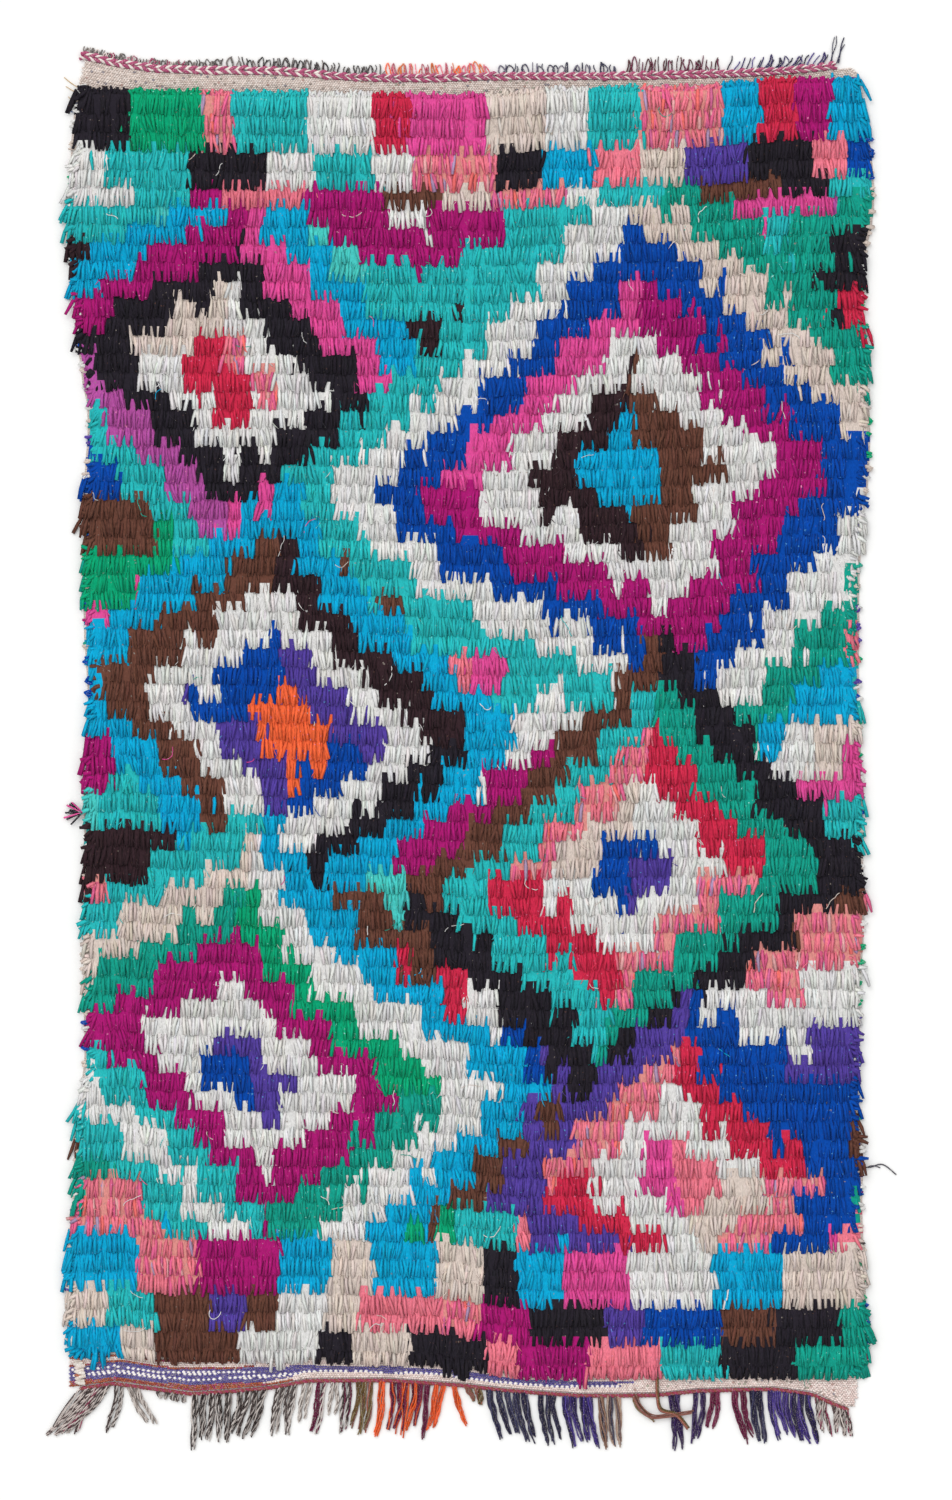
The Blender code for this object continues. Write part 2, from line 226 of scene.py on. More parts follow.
UPPER_END = end_line(1, UPPER_END_FROM)
LOWER_END = end_line(-1, LOWER_END_FROM)


def row_y(row, x):
    """Y of a row's knots at X: between the pile's two end lines, with a slight bow."""
    across = np.asarray(x) - CORNER_X
    share = np.asarray(row) / PILE_ROWS
    start = np.interp(across, *zip(*PILE_START))
    end = np.interp(across, *zip(*PILE_END))
    bow = ROW_BOW * np.sin(2 * np.pi * (across / ROW_BOW_LENGTH + share)) * np.sin(np.pi * share)
    return CORNER_Y - (start + share * (end - start) + bow)


def nested_bands(row, across):
    """For each knot its band's dye, and a number that tells apart the stretches of a band."""
    sway = 0.030 * np.sin(row / 5.3 + 1.0) + 0.018 * np.sin(row / 2.9 + 4 * across)
    course = STEP_ROWS * np.floor((row + 1.2 * np.sin(across * 5 + 1)) / STEP_ROWS) + STEP_ROWS / 2
    course = course + 0.9 * np.sin(across * 6.5 + 2)
    phase = (across + sway) / ZIGZAG_PERIOD
    wave = ZIGZAG_RISE * 2 * abs(phase - np.floor(phase + 0.5))
    band = np.floor((course + wave) / ZIGZAG_TALL).astype(int)
    stretch = 7 * band + 11 * np.floor((across + STRETCH_SHIFT * band) / STRETCH_WIDTH).astype(int)
    dye = np.array(ZIGZAG)[band % len(ZIGZAG)].astype("U12")
    for number, motif in enumerate(LOZENGES, 1):
        middle = motif.across + motif.lean * (course - motif.row) + sway
        out = abs(across - middle) / motif.wide + abs(course - motif.row) / motif.tall
        quarter = (across > middle) + 2 * (course > motif.row)
        for ring, name in enumerate(motif.bands.split()):
            here = (out >= ring) & (out < ring + 1)
            dye[here] = name
            stretch[here] = (7 * ring + 11 * quarter + 60 * number)[here]
    return dye, stretch


def plan(row, across):
    """The number of each knot's dye, from its row and its distance across the rug."""
    dye, stretch = nested_bands(row, across)
    number = np.zeros(row.shape, int)
    for name in DYES:
        lots = np.array([DYE_NAMES.index(lot) for lot in DYE_LOTS.get(name, name).split()])
        here = dye == name
        number[here] = lots[(stretch[here] % 9) % len(lots)]
    dice = random.Random(PLAN_SEED)
    for first, last in END_BLOCK_ROWS:
        at, before = 0.0, None
        while at < RUG_WIDTH:
            wide = dice.uniform(*END_BLOCK_WIDTH)
            name = dice.choice([n for n in END_BLOCK_DYES if n != before])
            here = (row >= first) & (row <= last) & (across >= at) & (across < at + wide)
            number[here] = DYE_NAMES.index(name)
            at, before = at + wide, name
    return number


def linear(code):
    """An sRGB hex colour as linear red, green, blue and alpha."""
    parts = [int(code[i : i + 2], 16) / 255 for i in (0, 2, 4)]
    return (*(p / 12.92 if p <= 0.04045 else ((p + 0.055) / 1.055) ** 2.4 for p in parts), 1.0)


DYE_COLOURS = np.array([linear(code) for code in DYES.values()])


def add(tree, kind, inputs=None, **settings):
    """A new node with its settings. An input is linked where it is given a node, whose first
    output is taken, or a socket, and else set."""
    made = tree.nodes.new(kind)
    for name, value in settings.items():
        setattr(made, name, value)
    for key, value in (inputs or {}).items():
        if isinstance(value, bpy.types.Node):
            value = value.outputs[0]
        if isinstance(value, bpy.types.NodeSocket):
            tree.links.new(value, made.inputs[key])
        else:
            made.inputs[key].default_value = value
    return made


def new_material(name):
    """An empty material with a Principled shader that is dull, as cloth is."""
    material = bpy.data.materials.new(name)
    material.use_nodes = True
    shader = material.node_tree.nodes["Principled BSDF"]
    shader.inputs["Roughness"].default_value = 0.95
    shader.inputs["Specular IOR Level"].default_value = 0.06
    return material, material.node_tree, shader


def new_object(name, mesh, *materials):
    made = bpy.data.objects.new(name, mesh)
    bpy.context.scene.collection.objects.link(made)
    for material in materials:
        mesh.materials.append(material)
    return made


def smooth_mesh(name, spots, faces):
    mesh = bpy.data.meshes.new(name)
    mesh.from_pydata(np.asarray(spots).tolist(), [], faces, shade_flat=False)
    return mesh


def cotton_weave():
    """Undyed cotton and wool, plain woven: ivory, with wefts a few millimetres apart that show
    as low ridges, and on the back of the pile one dash of rag for each knot."""
    material, tree, shader = new_material("plain_woven_undyed_cotton")
    knot = add(tree, "ShaderNodeAttribute", attribute_name="tint")
    place = add(tree, "ShaderNodeTexCoord").outputs["Object"]
    rows = add(tree, "ShaderNodeSeparateXYZ", {0: add(tree, "ShaderNodeUVMap", uv_map="UVMap")})
    share = add(tree, "ShaderNodeMath", {0: rows.outputs[1]}, operation="FRACT")
    dash = add(tree, "ShaderNodeMath", {0: share, 1: 0.42}, operation="LESS_THAN")
    shown = add(tree, "ShaderNodeMath", {0: dash, 1: knot.outputs["Alpha"]}, operation="MULTIPLY")
    fleck = add(tree, "ShaderNodeTexNoise", {"Vector": place, "Scale": 320.0})
    ivory = add(tree, "ShaderNodeValToRGB", {0: fleck})
    for stop, position, code in zip(ivory.color_ramp.elements, (0.30, 0.46), ("BFAFA7", "E2D4CC")):
        stop.position = position
        stop.color = linear(code)
    colour = add(tree, "ShaderNodeMix", {0: shown, 6: ivory, 7: knot.outputs["Color"]}, data_type="RGBA")
    tree.links.new(colour.outputs[2], shader.inputs["Base Color"])
    ridges = {"Vector": place, "Scale": 78.0, "Distortion": 2.0, "Detail Scale": 30.0}
    wefts = add(tree, "ShaderNodeTexWave", ridges, bands_direction="Y")
    relief = add(tree, "ShaderNodeBump", {"Height": wefts.outputs[1], "Distance": 0.0008})
    tree.links.new(relief.outputs[0], shader.inputs["Normal"])
    return material


def cloth_grid(rows, columns, inset):
    """A grid that follows the rows and both edges: each point's row, X, Y and the X of both
    edges beside it, and the faces. Rows above and below the pile reach to the cloth's ends."""
    row = np.repeat(rows[:, None], columns + 1, 1)
    share = np.linspace(0, 1, columns + 1)[None, :]
    x = CORNER_X + RUG_WIDTH * np.broadcast_to(share, row.shape)
    for _ in range(2):
        inner = row_y(np.clip(row, 0, PILE_ROWS), x)
        upper = np.interp(x, *UPPER_END)
        lower = np.interp(x, *LOWER_END)
        y = np.where(row < 0, inner + (upper - inner) * -row, inner)
        y = np.where(row > PILE_ROWS, inner + (lower - inner) * (row - PILE_ROWS), y)
        left, right = side_edges(y)
        x = left + inset + share * (right - left - 2 * inset)
    first = (np.arange(len(rows) - 1)[:, None] * (columns + 1) + np.arange(columns)).ravel()
    faces = np.stack([first, first + columns + 1, first + columns + 2, first + 1], 1)
    return row, x, y, left, right, faces


def tint_faces(mesh, tint):
    mesh.attributes.new("tint", "FLOAT_COLOR", "FACE")
    mesh.attributes["tint"].data.foreach_set("color", tint.astype(np.float32).ravel())


def make_ground_weave():
    """A grid with its row in V, given its thickness after."""
    above = np.linspace(-1, 0, END_STATIONS, endpoint=False)
    below = np.linspace(PILE_ROWS, PILE_ROWS + 1, END_STATIONS + 1)[1:]
    rows = np.concatenate([above, np.arange(PILE_ROWS + 1), below])
    row, x, y, _, _, faces = cloth_grid(rows, WEAVE_COLUMNS, WEAVE_INSET)
    spots = np.stack([x, y, np.full_like(x, WEAVE_THICKNESS)], -1).reshape(-1, 3)
    mesh = smooth_mesh("ground_weave", spots, faces.tolist())
    corners = faces.ravel()
    flat = np.stack([x.ravel()[corners] - CORNER_X, row.ravel()[corners]], 1)
    mesh.uv_layers.new(name="UVMap").data.foreach_set("uv", flat.astype(np.float32).ravel())
    face_row = row[:-1, :-1].ravel()
    across = (x[:-1, :-1] + x[:-1, 1:]).ravel() / 2 - CORNER_X
    tint = DYE_COLOURS[plan(np.clip(face_row, 0, PILE_ROWS - 1), across)]
    tint[:, 3] = (face_row >= 0) & (face_row < PILE_ROWS)
    tint_faces(mesh, tint)
    cloth = new_object("ground_weave", mesh, cotton_weave())
    thick = cloth.modifiers.new("thickness", "SOLIDIFY")
    thick.thickness = WEAVE_THICKNESS - WEAVE_LIFT
    thick.offset = -1.0
    return cloth


ground_weave = make_ground_weave()
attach(ground_weave, "root")
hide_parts("rag_pile_body")
pieces_on_weave = []


# Rag pile
# Rows of cut strips of cotton jersey and wool, knotted by hand and cut to a length, so that each
# row's locks lie over the roots of the row below. Neighbours bunch together, and tips are ragged.

LOCK_SPACING = 0.0028
LOCK_JITTER = 0.45
ROOT_JITTER = 0.0020
LENGTH_CHANCE = (0.94, 1.05)
ROOT_Z = 0.0032
PILE_INSET = 0.006
INSET_WANDER = 0.003
# Rows that stop short of the left and of the right edge, so that the selvedge shows beside them.
SHORT_LEFT = ((1, 3), (14, 20), (28, 32), (50, 53))
SHORT_RIGHT = ((3, 8), (18, 21), (25, 32), (44, 46), (58, 61))
SHORT_BY = 0.011
RIM_FALL = 0.024
RIM_TURN = math.radians(14)
RIM_PITCH = 0.05
LAST_ROW_DROOP = math.radians(10)
LAST_ROW_LENGTH = 0.80
# A parting where the rug was folded: its place, width, rows, and how far the locks turn and sink.
CREASE_X = 0.010
CREASE_REACH = 0.014
CREASE_ROWS = ((0, 23), (36, 48))
CREASE_TURN = math.radians(11)
CREASE_SINK = 0.22
STRAY_DYE_SHARE = 0.012
STRAY_DYE_SHIFT = 0.03
PILE_SEED = 7

# Locks that turn outwards over both sides in each row, and short ones that lie up over the first
# row's roots. Some locks of the last row hang down as longer tufts, in the middle of these places.
RIM_LOCKS = 10
RIM_ROOT = (0.019, 0.030)
RIM_LOCK_YAW = (math.radians(30), math.radians(78))
RIM_LOCK_LENGTH = (0.50, 0.66)
RIM_LOCK_HEIGHT = (0.5, 0.75)
RIM_SCALLOP = 0.38
COLLAR_SPACING = 0.0030
COLLAR_DOWN = (0.010, 0.016)
COLLAR_YAW = 0.6
COLLAR_LENGTH = (0.22, 0.36)
LONG_TUFTS = (0.061, 0.369, 0.668, 0.696, 0.905)
LONG_TUFT_REACH = 0.010
LONG_TUFT_LENGTH = 1.16

# One lock: how far along it a section is, its height there, half its width, and half its depth.
Section = namedtuple("Section", "along height half_width half_depth")
LOCK = (
    Section(0.003, 0.0088, 0.0024, 0.0005),
    Section(0.026, 0.0144, 0.0034, 0.0005),
    Section(0.0455, 0.0126, 0.0022, 0.0004),
)
# Its variants: how far the tip swings sideways, how far the middle bows, how blunt the tip is.
LOCK_SHAPES = (
    (0.0000, 0.0008, 1.0),
    (0.0026, -0.0012, 0.9),
    (-0.0028, 0.0014, 1.3),
    (0.0012, 0.0016, 0.8),
    (-0.0016, -0.0014, 1.6),
    (0.0044, 0.0012, 0.9),
    (-0.0042, -0.0008, 1.1),
    (0.0020, 0.0004, 1.5),
)

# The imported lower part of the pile: two lines to a row, with their heights over the weave, and a
# low line before the first row. Where one row's tips end, it has the next row's dye already.
BED_START = 0.06
BED_SHARES = (0.35, 0.85)
BED_HEIGHTS = (0.0114, 0.0136)
BED_END_HEIGHTS = (0.002, 0.004)
NEXT_ROW_FROM = 0.2
BED_COLUMNS = 170
BED_INSET = 0.007
# How dark the white painted on the bed's sides and underside is: a painted shade, not a dye.
BED_SIDE_PAINTED_SHADE = 0.6

# Rags of like colour are one piece each, to keep each piece's mesh small: how dark their fibres
# get, the colour of stray fibres, how many degrees a lock turns by chance, how much a bunch grows,
# and their dyes. Jersey curls up and lies every way, and wool lies straighter.
BUNCH_SIZE = 0.013
BUNCH_TURN = math.radians(11)
CHANCE_GROWTH = 0.03
RagPiece = namedtuple("RagPiece", "name finish streak fleck turn growth dyes")
RED_DYES = "magenta pink salmon orchid red orange mixed"
RAG_PIECES = (
    RagPiece("pile_white", "undyed_wool", 0.92, "B9B0A6", 5, 0.12, "white beige"),
    RagPiece("pile_dark", "dark_wool", 0.66, "5A4038", 6, 0.15, "black brown_black brown light_brown"),
    RagPiece("pile_blue", "blue_cotton_jersey", 0.80, "5FA8D8", 5.5, 0.13, "royal cyan purple"),
    RagPiece("pile_green", "green_cotton_jersey", 0.84, "8FD8CE", 5.5, 0.12, "turquoise sea teal emerald"),
    RagPiece("pile_red", "red_cotton_jersey", 0.80, "E58AB4", 5.5, 0.12, RED_DYES),
)
MIXED_RAGS = ("salmon",) * 14 + ("pink",) * 4 + ("beige", "orange", "cyan", "orchid")


def fibrous(material, place, fibres, shades, stray, relief):
    """Gives a material each point's tint, with its fibres as light and dark streaks and a relief.
    shades maps the fibres to light, stray is the size, detail, share and colour of other fibres."""
    tree = material.node_tree
    shader = tree.nodes["Principled BSDF"]
    tint = add(tree, "ShaderNodeAttribute", attribute_name="tint")
    lowest, highest, darkest, lightest = shades
    light = {"From Min": lowest, "From Max": highest, "To Min": darkest, "To Max": lightest}
    shade = add(tree, "ShaderNodeMapRange", {"Value": fibres, **light})
    lit = add(tree, "ShaderNodeVectorMath", {0: tint.outputs["Color"], "Scale": shade}, operation="SCALE")
    scale, detail, above, code = stray
    others = add(tree, "ShaderNodeTexNoise", {"Vector": place, "Scale": scale, "Detail": detail})
    spot = add(tree, "ShaderNodeMath", {0: others, 1: above}, operation="GREATER_THAN")
    colour = add(tree, "ShaderNodeMix", {0: spot, 6: lit, 7: linear(code)}, data_type="RGBA")
    tree.links.new(colour.outputs[2], shader.inputs["Base Color"])
    strength, distance = relief
    bump = add(tree, "ShaderNodeBump", {"Height": fibres, "Strength": strength, "Distance": distance})
    tree.links.new(bump.outputs[0], shader.inputs["Normal"])


def rag_pile(name, streak, fleck):
    """Cut cotton jersey and wool: dull and soft, with fine fibres that run along each lock as
    light and dark streaks. streak is how dark they get, and fleck the colour of stray fibres."""
    material, tree, shader = new_material(name)
    place = add(tree, "ShaderNodeTexCoord").outputs["Object"]
    along = add(tree, "ShaderNodeMapping", {"Vector": place, "Scale": (430, 180, 260)})
    noise = {"Vector": along, "Scale": 1.0, "Detail": 3.0, "Roughness": 0.62}
    fibres = add(tree, "ShaderNodeTexNoise", noise)
    fibrous(material, place, fibres, (0.32, 0.66, streak, 1.10), (210.0, 4.0, 0.69, fleck), (0.6, 0.0012))
    shader.inputs["Sheen Weight"].default_value = 0.015
    shader.inputs["Sheen Roughness"].default_value = 0.6
    return material


def new_tree(name, inputs, result):
    """A tree of Geometry Nodes with its named inputs, given as pairs, and their sockets in it."""
    tree = bpy.data.node_groups.new(name, "GeometryNodeTree")
    for label, kind in inputs:
        tree.interface.new_socket(label, in_out="INPUT", socket_type="NodeSocket" + kind)
    tree.interface.new_socket(result, in_out="OUTPUT", socket_type="NodeSocketGeometry")
    return tree, add(tree, "NodeGroupInput").outputs


def end_tree(tree, shape, finish):
    real = add(tree, "GeometryNodeRealizeInstances", {0: shape})
    finished = add(tree, "GeometryNodeSetMaterial", {"Geometry": real, "Material": finish})
    add(tree, "NodeGroupOutput", {0: finished})


def laid_tree():
    """Lays one of several small shapes at each point. The point says how it is turned, how big
    it is and which shape it takes. Neighbours turn and grow together, and each adds some chance."""
    inputs = (
        ("Points", "Geometry"),
        ("Shapes", "Collection"),
        ("Finish", "Material"),
        ("Bunch Size", "Float"),
        ("Bunch Turn", "Float"),
        ("Chance Turn", "Float"),
        ("Bunch Growth", "Float"),
        ("Chance Growth", "Float"),
        ("Seed", "Int"),
    )
    tree, given = new_tree("laid_by_hand", inputs, "Laid")
    turn, size, shape = (
        add(tree, "GeometryNodeInputNamedAttribute", {"Name": name}, data_type=kind)
        for name, kind in (("turn", "FLOAT_VECTOR"), ("size", "FLOAT_VECTOR"), ("shape", "INT"))
    )
    finer = add(tree, "ShaderNodeMath", {0: 1.0, 1: given["Bunch Size"]}, operation="DIVIDE")
    bunch = add(tree, "ShaderNodeTexNoise", {"Scale": finer, "Detail": 1.0})
    swings = {"Value": bunch, "From Min": 0.3, "From Max": 0.7, "To Min": -1.0, "To Max": 1.0}
    swing = add(tree, "ShaderNodeMapRange", swings, clamp=False)
    other = add(tree, "ShaderNodeMath", {0: given["Seed"], 1: 1.0}, operation="ADD")
    chance, growth = (
        add(tree, "FunctionNodeRandomValue", {0: (-1, -1, -1), "Seed": seed}, data_type="FLOAT_VECTOR")
        for seed in (given["Seed"], other)
    )
    together = add(tree, "ShaderNodeMath", {0: swing, 1: given["Bunch Turn"]}, operation="MULTIPLY")
    sideways = add(tree, "ShaderNodeCombineXYZ", {2: together})
    from_middle = {0: bunch.outputs[1], 1: (0.5, 0.5, 0.5)}
    middle = add(tree, "ShaderNodeVectorMath", from_middle, operation="SUBTRACT")
    alone, swell, own = (
        add(tree, "ShaderNodeVectorMath", {0: value, "Scale": given[name]}, operation="SCALE")
        for value, name in ((chance, "Chance Turn"), (middle, "Bunch Growth"), (growth, "Chance Growth"))
    )
    first = add(tree, "ShaderNodeVectorMath", {0: turn, 1: sideways}, operation="ADD")
    turned = add(tree, "ShaderNodeVectorMath", {0: first, 1: alone}, operation="ADD")
    both = add(tree, "ShaderNodeVectorMath", {0: swell, 1: own}, operation="ADD")
    more = add(tree, "ShaderNodeVectorMath", {0: both, 1: (1.0, 1.0, 1.0)}, operation="ADD")
    grown = add(tree, "ShaderNodeVectorMath", {0: size, 1: more}, operation="MULTIPLY")
    apart = {"Collection": given["Shapes"], "Separate Children": True, "Reset Children": True}
    laying = {
        "Points": given["Points"],
        "Instance": add(tree, "GeometryNodeCollectionInfo", apart),
        "Pick Instance": True,
        "Instance Index": shape,
        "Rotation": add(tree, "FunctionNodeEulerToRotation", {0: turned}),
        "Scale": grown,
    }
    end_tree(tree, add(tree, "GeometryNodeInstanceOnPoints", laying), given["Finish"])
    return tree


LAID_BY_HAND = laid_tree()


def grown_by(tree, name, base, values):
    """The plain mesh object that a tree of Geometry Nodes makes from a base mesh."""
    source = new_object(name + "_base", base)
    grow = source.modifiers.new("grow", "NODES")
    grow.node_group = tree
    for item in tree.interface.items_tree:
        if item.in_out == "INPUT" and item.name in values:
            grow[item.identifier] = values[item.name]
    graph = bpy.context.evaluated_depsgraph_get()
    mesh = bpy.data.meshes.new_from_object(source.evaluated_get(graph))
    mesh.name = name
    bpy.data.objects.remove(source)
    return new_object(name, mesh)


def laid(name, base, shapes, finish, seed, bunch, chance):
    """Shapes laid at a base mesh's points. bunch is how wide a bunch is and how far it turns and
    grows as one, and chance is how far each shape turns and grows by itself."""
    values = {"Shapes": shapes, "Finish": finish, "Seed": seed}
    values.update(zip(("Bunch Size", "Bunch Turn", "Bunch Growth"), bunch))
    values.update(zip(("Chance Turn", "Chance Growth"), chance))
    return grown_by(LAID_BY_HAND, name, base, values)


ATTRIBUTE_KINDS = {
    "tint": ("FLOAT_COLOR", "color"),
    "turn": ("FLOAT_VECTOR", "vector"),
    "size": ("FLOAT_VECTOR", "vector"),
    "shape": ("INT", "value"),
}


def base_mesh(name, spots, edges=(), **values):
    """A mesh of bare points, or of lines, with one attribute for each named array of values."""
    mesh = bpy.data.meshes.new(name)
    mesh.from_pydata(np.asarray(spots).tolist(), edges, [])
    for key, value in values.items():
        kind, field = ATTRIBUTE_KINDS.get(key, ("FLOAT", "value"))
        value = np.asarray(value, np.int32 if kind == "INT" else np.float32)
        mesh.attributes.new(key, kind, "POINT").data.foreach_set(field, value.ravel())
    return mesh


def three_sided(name, rings):
    """A closed tube through rings of three points each."""
    last = 3 * (len(rings) - 1)
    faces = [(0, 1, 2)]
    for start in range(0, last, 3):
        for side in range(3):
            after = (side + 1) % 3
            faces.append((start + side, start + 3 + side, start + 3 + after, start + after))
    faces.append((last + 2, last + 1, last))
    return smooth_mesh(name, np.concatenate(rings), faces)


def lock_mesh(number, swing, bow, blunt):
    """A lock with a rounded back, from its root towards -Y."""
    rings = []
    for section in LOCK:
        share = section.along / LOCK[-1].along
        x = swing * share * share + bow * math.sin(math.pi * share)
        half = section.half_width * (blunt if section is LOCK[-1] else 1.0)
        low, high = section.height - section.half_depth, section.height + section.half_depth
        rings.append([(x + side * half, -section.along, z) for side, z in ((-1, low), (0, high), (1, low))])
    return three_sided(f"lock_{number}", rings)


def shape_set(name, meshes):
    """The shapes that a tree picks from, in a collection that isn't in the scene."""
    shapes = bpy.data.collections.new(name)
    for number, mesh in enumerate(meshes):
        shapes.objects.link(bpy.data.objects.new(f"{name}_{number:02d}", mesh))
    return shapes


def drop_shapes(shapes):
    for shape in list(shapes.objects):
        bpy.data.objects.remove(shape)
    bpy.data.collections.remove(shapes)


def knots(x, y, row, pitch, yaw, size):
    """Knots as lines of ten numbers: X, Y, Z, row, three turns and three sizes."""
    return np.stack(np.broadcast_arrays(x, y, ROOT_Z, row, pitch, 0.0, yaw, *size), 1)


def in_rows(row, spans):
    return any(first <= row <= last for first, last in spans)


def pile_knots(dice):
    """Every knot of the pile, row by row: each row's own locks and the ones over both sides,
    and last the collar over the first row."""
    made = []
    inset_wave = dice.uniform(0, 2 * np.pi, 2)
    for row in range(PILE_ROWS):
        left, right = side_edges(row_y(row + 0.5, 0.0))
        short = SHORT_BY * np.array([in_rows(row, SHORT_LEFT), in_rows(row, SHORT_RIGHT)])
        inset = PILE_INSET + INSET_WANDER * np.sin(row * np.array([0.9, 1.3]) + inset_wave) + short
        left, right = left + inset[0], right - inset[1]
        count = int((right - left) / LOCK_SPACING)
        jitter = dice.uniform(-LOCK_JITTER, LOCK_JITTER, count)
        x = left + (np.arange(count) + 0.5 + jitter) * LOCK_SPACING
        y = row_y(row, x) + dice.uniform(-ROOT_JITTER, ROOT_JITTER, count)
        near_left = np.clip(1 - (x - left) / RIM_FALL, 0, 1)
        near_right = np.clip(1 - (right - x) / RIM_FALL, 0, 1)
        rim = near_left + near_right
        yaw = RIM_TURN * (near_right - near_left)
        height = 1 - 0.5 * rim
        pitch = RIM_PITCH * rim
        if in_rows(row, CREASE_ROWS):
            parting = np.clip(1 - abs(x - CREASE_X) / CREASE_REACH, 0, 1)
            yaw += CREASE_TURN * np.sign(x - CREASE_X) * parting
            height -= CREASE_SINK * parting
        length = dice.uniform(*LENGTH_CHANCE, count)
        if row == PILE_ROWS - 1:
            off = np.min([abs(x - CORNER_X - tuft) for tuft in LONG_TUFTS], axis=0)
            length *= np.where(off < LONG_TUFT_REACH, LONG_TUFT_LENGTH, LAST_ROW_LENGTH)
            pitch = pitch + LAST_ROW_DROOP
        made.append(knots(x, y, row, pitch, yaw, (1.0, length, height)))
        for number, edge in enumerate((left - inset[0], right + inset[1])):
            side = 2 * number - 1
            share = dice.uniform(0, 1, RIM_LOCKS)
            y = row_y(row - 0.15 + 0.85 * share, edge)
            x = side_edges(y)[number] - side * (dice.uniform(*RIM_ROOT, RIM_LOCKS) + short[number])
            yaw = side * dice.uniform(*RIM_LOCK_YAW, RIM_LOCKS)
            length = dice.uniform(*RIM_LOCK_LENGTH, RIM_LOCKS) * (1 - RIM_SCALLOP * (2 * share - 1) ** 2)
            height = dice.uniform(*RIM_LOCK_HEIGHT, RIM_LOCKS)
            made.append(knots(x, y, row, -0.03, yaw, (1.1, length, height)))
    x = np.arange(LEFT_RIM[1].min() + 0.03, RIGHT_RIM[1].max() - 0.03, COLLAR_SPACING)
    x = x + dice.uniform(-0.002, 0.002, len(x))
    y = row_y(0, x) - dice.uniform(*COLLAR_DOWN, len(x))
    yaw = math.pi + dice.uniform(-COLLAR_YAW, COLLAR_YAW, len(x))
    made.append(knots(x, y, 0, 0.10, yaw, (0.9, dice.uniform(*COLLAR_LENGTH, len(x)), 0.85)))
    return np.concatenate(made)


def rag_tints(row, across, dice):
    """Each knot's dye number and its own shade of that dye."""
    dye = plan(row, across)
    stray = dice.random(len(dye)) < STRAY_DYE_SHARE
    shift = dice.choice([-STRAY_DYE_SHIFT, STRAY_DYE_SHIFT], stray.sum())
    dye[stray] = plan(row[stray], across[stray] + shift)
    mixed = dye == DYE_NAMES.index("mixed")
    shown = dye.copy()
    shown[mixed] = dice.choice([DYE_NAMES.index(name) for name in MIXED_RAGS], mixed.sum())
    tint = DYE_COLOURS[shown].copy()
    tint[mixed] = (tint[mixed] + DYE_COLOURS[DYE_NAMES.index("salmon")]) / 2
    by_row = 1 + 0.07 * np.sin(row * 2.4 + dye * 1.7)
    by_bunch = 1 + 0.05 * np.sin(across * 260 + row * 1.9) * np.sin(across * 97 + row)
    alone = dice.normal(1, 0.035, len(dye))
    tint[:, :3] *= (by_row * by_bunch * alone)[:, None]
    tint[:, :3] *= dice.normal(1, 0.02, (len(dye), 3))
    return dye, np.clip(tint, 0, 1)


def make_pile_bed():
    """The closely packed lower part of the locks, one low step for each row, as a closed mesh."""
    rows = (np.arange(PILE_ROWS)[:, None] + np.array(BED_SHARES)).ravel()
    rows = np.append(BED_START, rows)
    heights = np.append(0, np.tile(BED_HEIGHTS, PILE_ROWS))
    heights[[0, -1]] = BED_END_HEIGHTS
    row, x, _, left, right, faces = cloth_grid(rows, BED_COLUMNS, BED_INSET)
    fall = np.clip(np.minimum(x - left - BED_INSET, right - BED_INSET - x) / RIM_FALL, 0, 1)
    z = ROOT_Z + heights[:, None] * np.sqrt(0.04 + 0.96 * fall)
    top = np.stack([x, row_y(row, x), z], -1).reshape(-1, 3)
    wide = BED_COLUMNS + 1
    last = len(top) - 1
    rim = [*range(0, last + 1, wide), *range(last - BED_COLUMNS + 1, last + 1)]
    rim += [*range(last - wide, wide - 2, -wide), *range(BED_COLUMNS - 1, 0, -1)]
    foot = top[rim] * (1, 1, 0) + (0, 0, ROOT_Z)
    lower = [*range(len(top), len(top) + len(rim))]
    closed = [*faces.tolist()]
    for here, after in zip(range(len(rim)), [*range(1, len(rim)), 0]):
        closed.append((rim[here], lower[here], lower[after], rim[after]))
    closed.append(lower[::-1])
    mesh = smooth_mesh("pile_bed", np.concatenate([top, foot]), closed)
    face_row = np.floor(row[:-1, :-1] + NEXT_ROW_FROM).ravel()
    across = (x[:-1, :-1] + x[:-1, 1:]).ravel() / 2 - CORNER_X
    tint = np.zeros((len(closed), 4))
    # Painted shade: the sides and underside of the bed get a darkened white, and the top faces get their
    # dyes.
    tint[:, :3] = DYE_COLOURS[0, :3] * BED_SIDE_PAINTED_SHADE
    tint[: len(faces)] = DYE_COLOURS[plan(face_row, across)]
    tint_faces(mesh, tint)
    bed = new_object("pile_bed", mesh, rag_pile("packed_rag_locks", 0.78, "8A8078"))
    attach(bed, "root")
    return bed


def make_pile():
    dice = np.random.default_rng(PILE_SEED)
    knot = pile_knots(dice)
    dye, tint = rag_tints(knot[:, 3], knot[:, 0] - CORNER_X, dice)
    shape = dice.integers(0, len(LOCK_SHAPES), len(dye))
    locks = shape_set("locks", [lock_mesh(n, *values) for n, values in enumerate(LOCK_SHAPES)])
    made = []
    for rag in RAG_PIECES:
        here = np.isin(dye, [DYE_NAMES.index(name) for name in rag.dyes.split()])
        place, turn, size = knot[here, :3], knot[here, 4:7], knot[here, 7:]
        base = base_mesh(rag.name, place, tint=tint[here], turn=turn, size=size, shape=shape[here])
        finish = rag_pile("cut_" + rag.finish, rag.streak, rag.fleck)
        bunch = (BUNCH_SIZE, BUNCH_TURN, rag.growth)
        chance = (math.radians(rag.turn), CHANCE_GROWTH)
        piece = laid(rag.name, base, locks, finish, PILE_SEED, bunch, chance)
        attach(piece, "root")
        made.append(piece)
    drop_shapes(locks)
    return made


pieces_on_weave += [make_pile_bed(), *make_pile()]


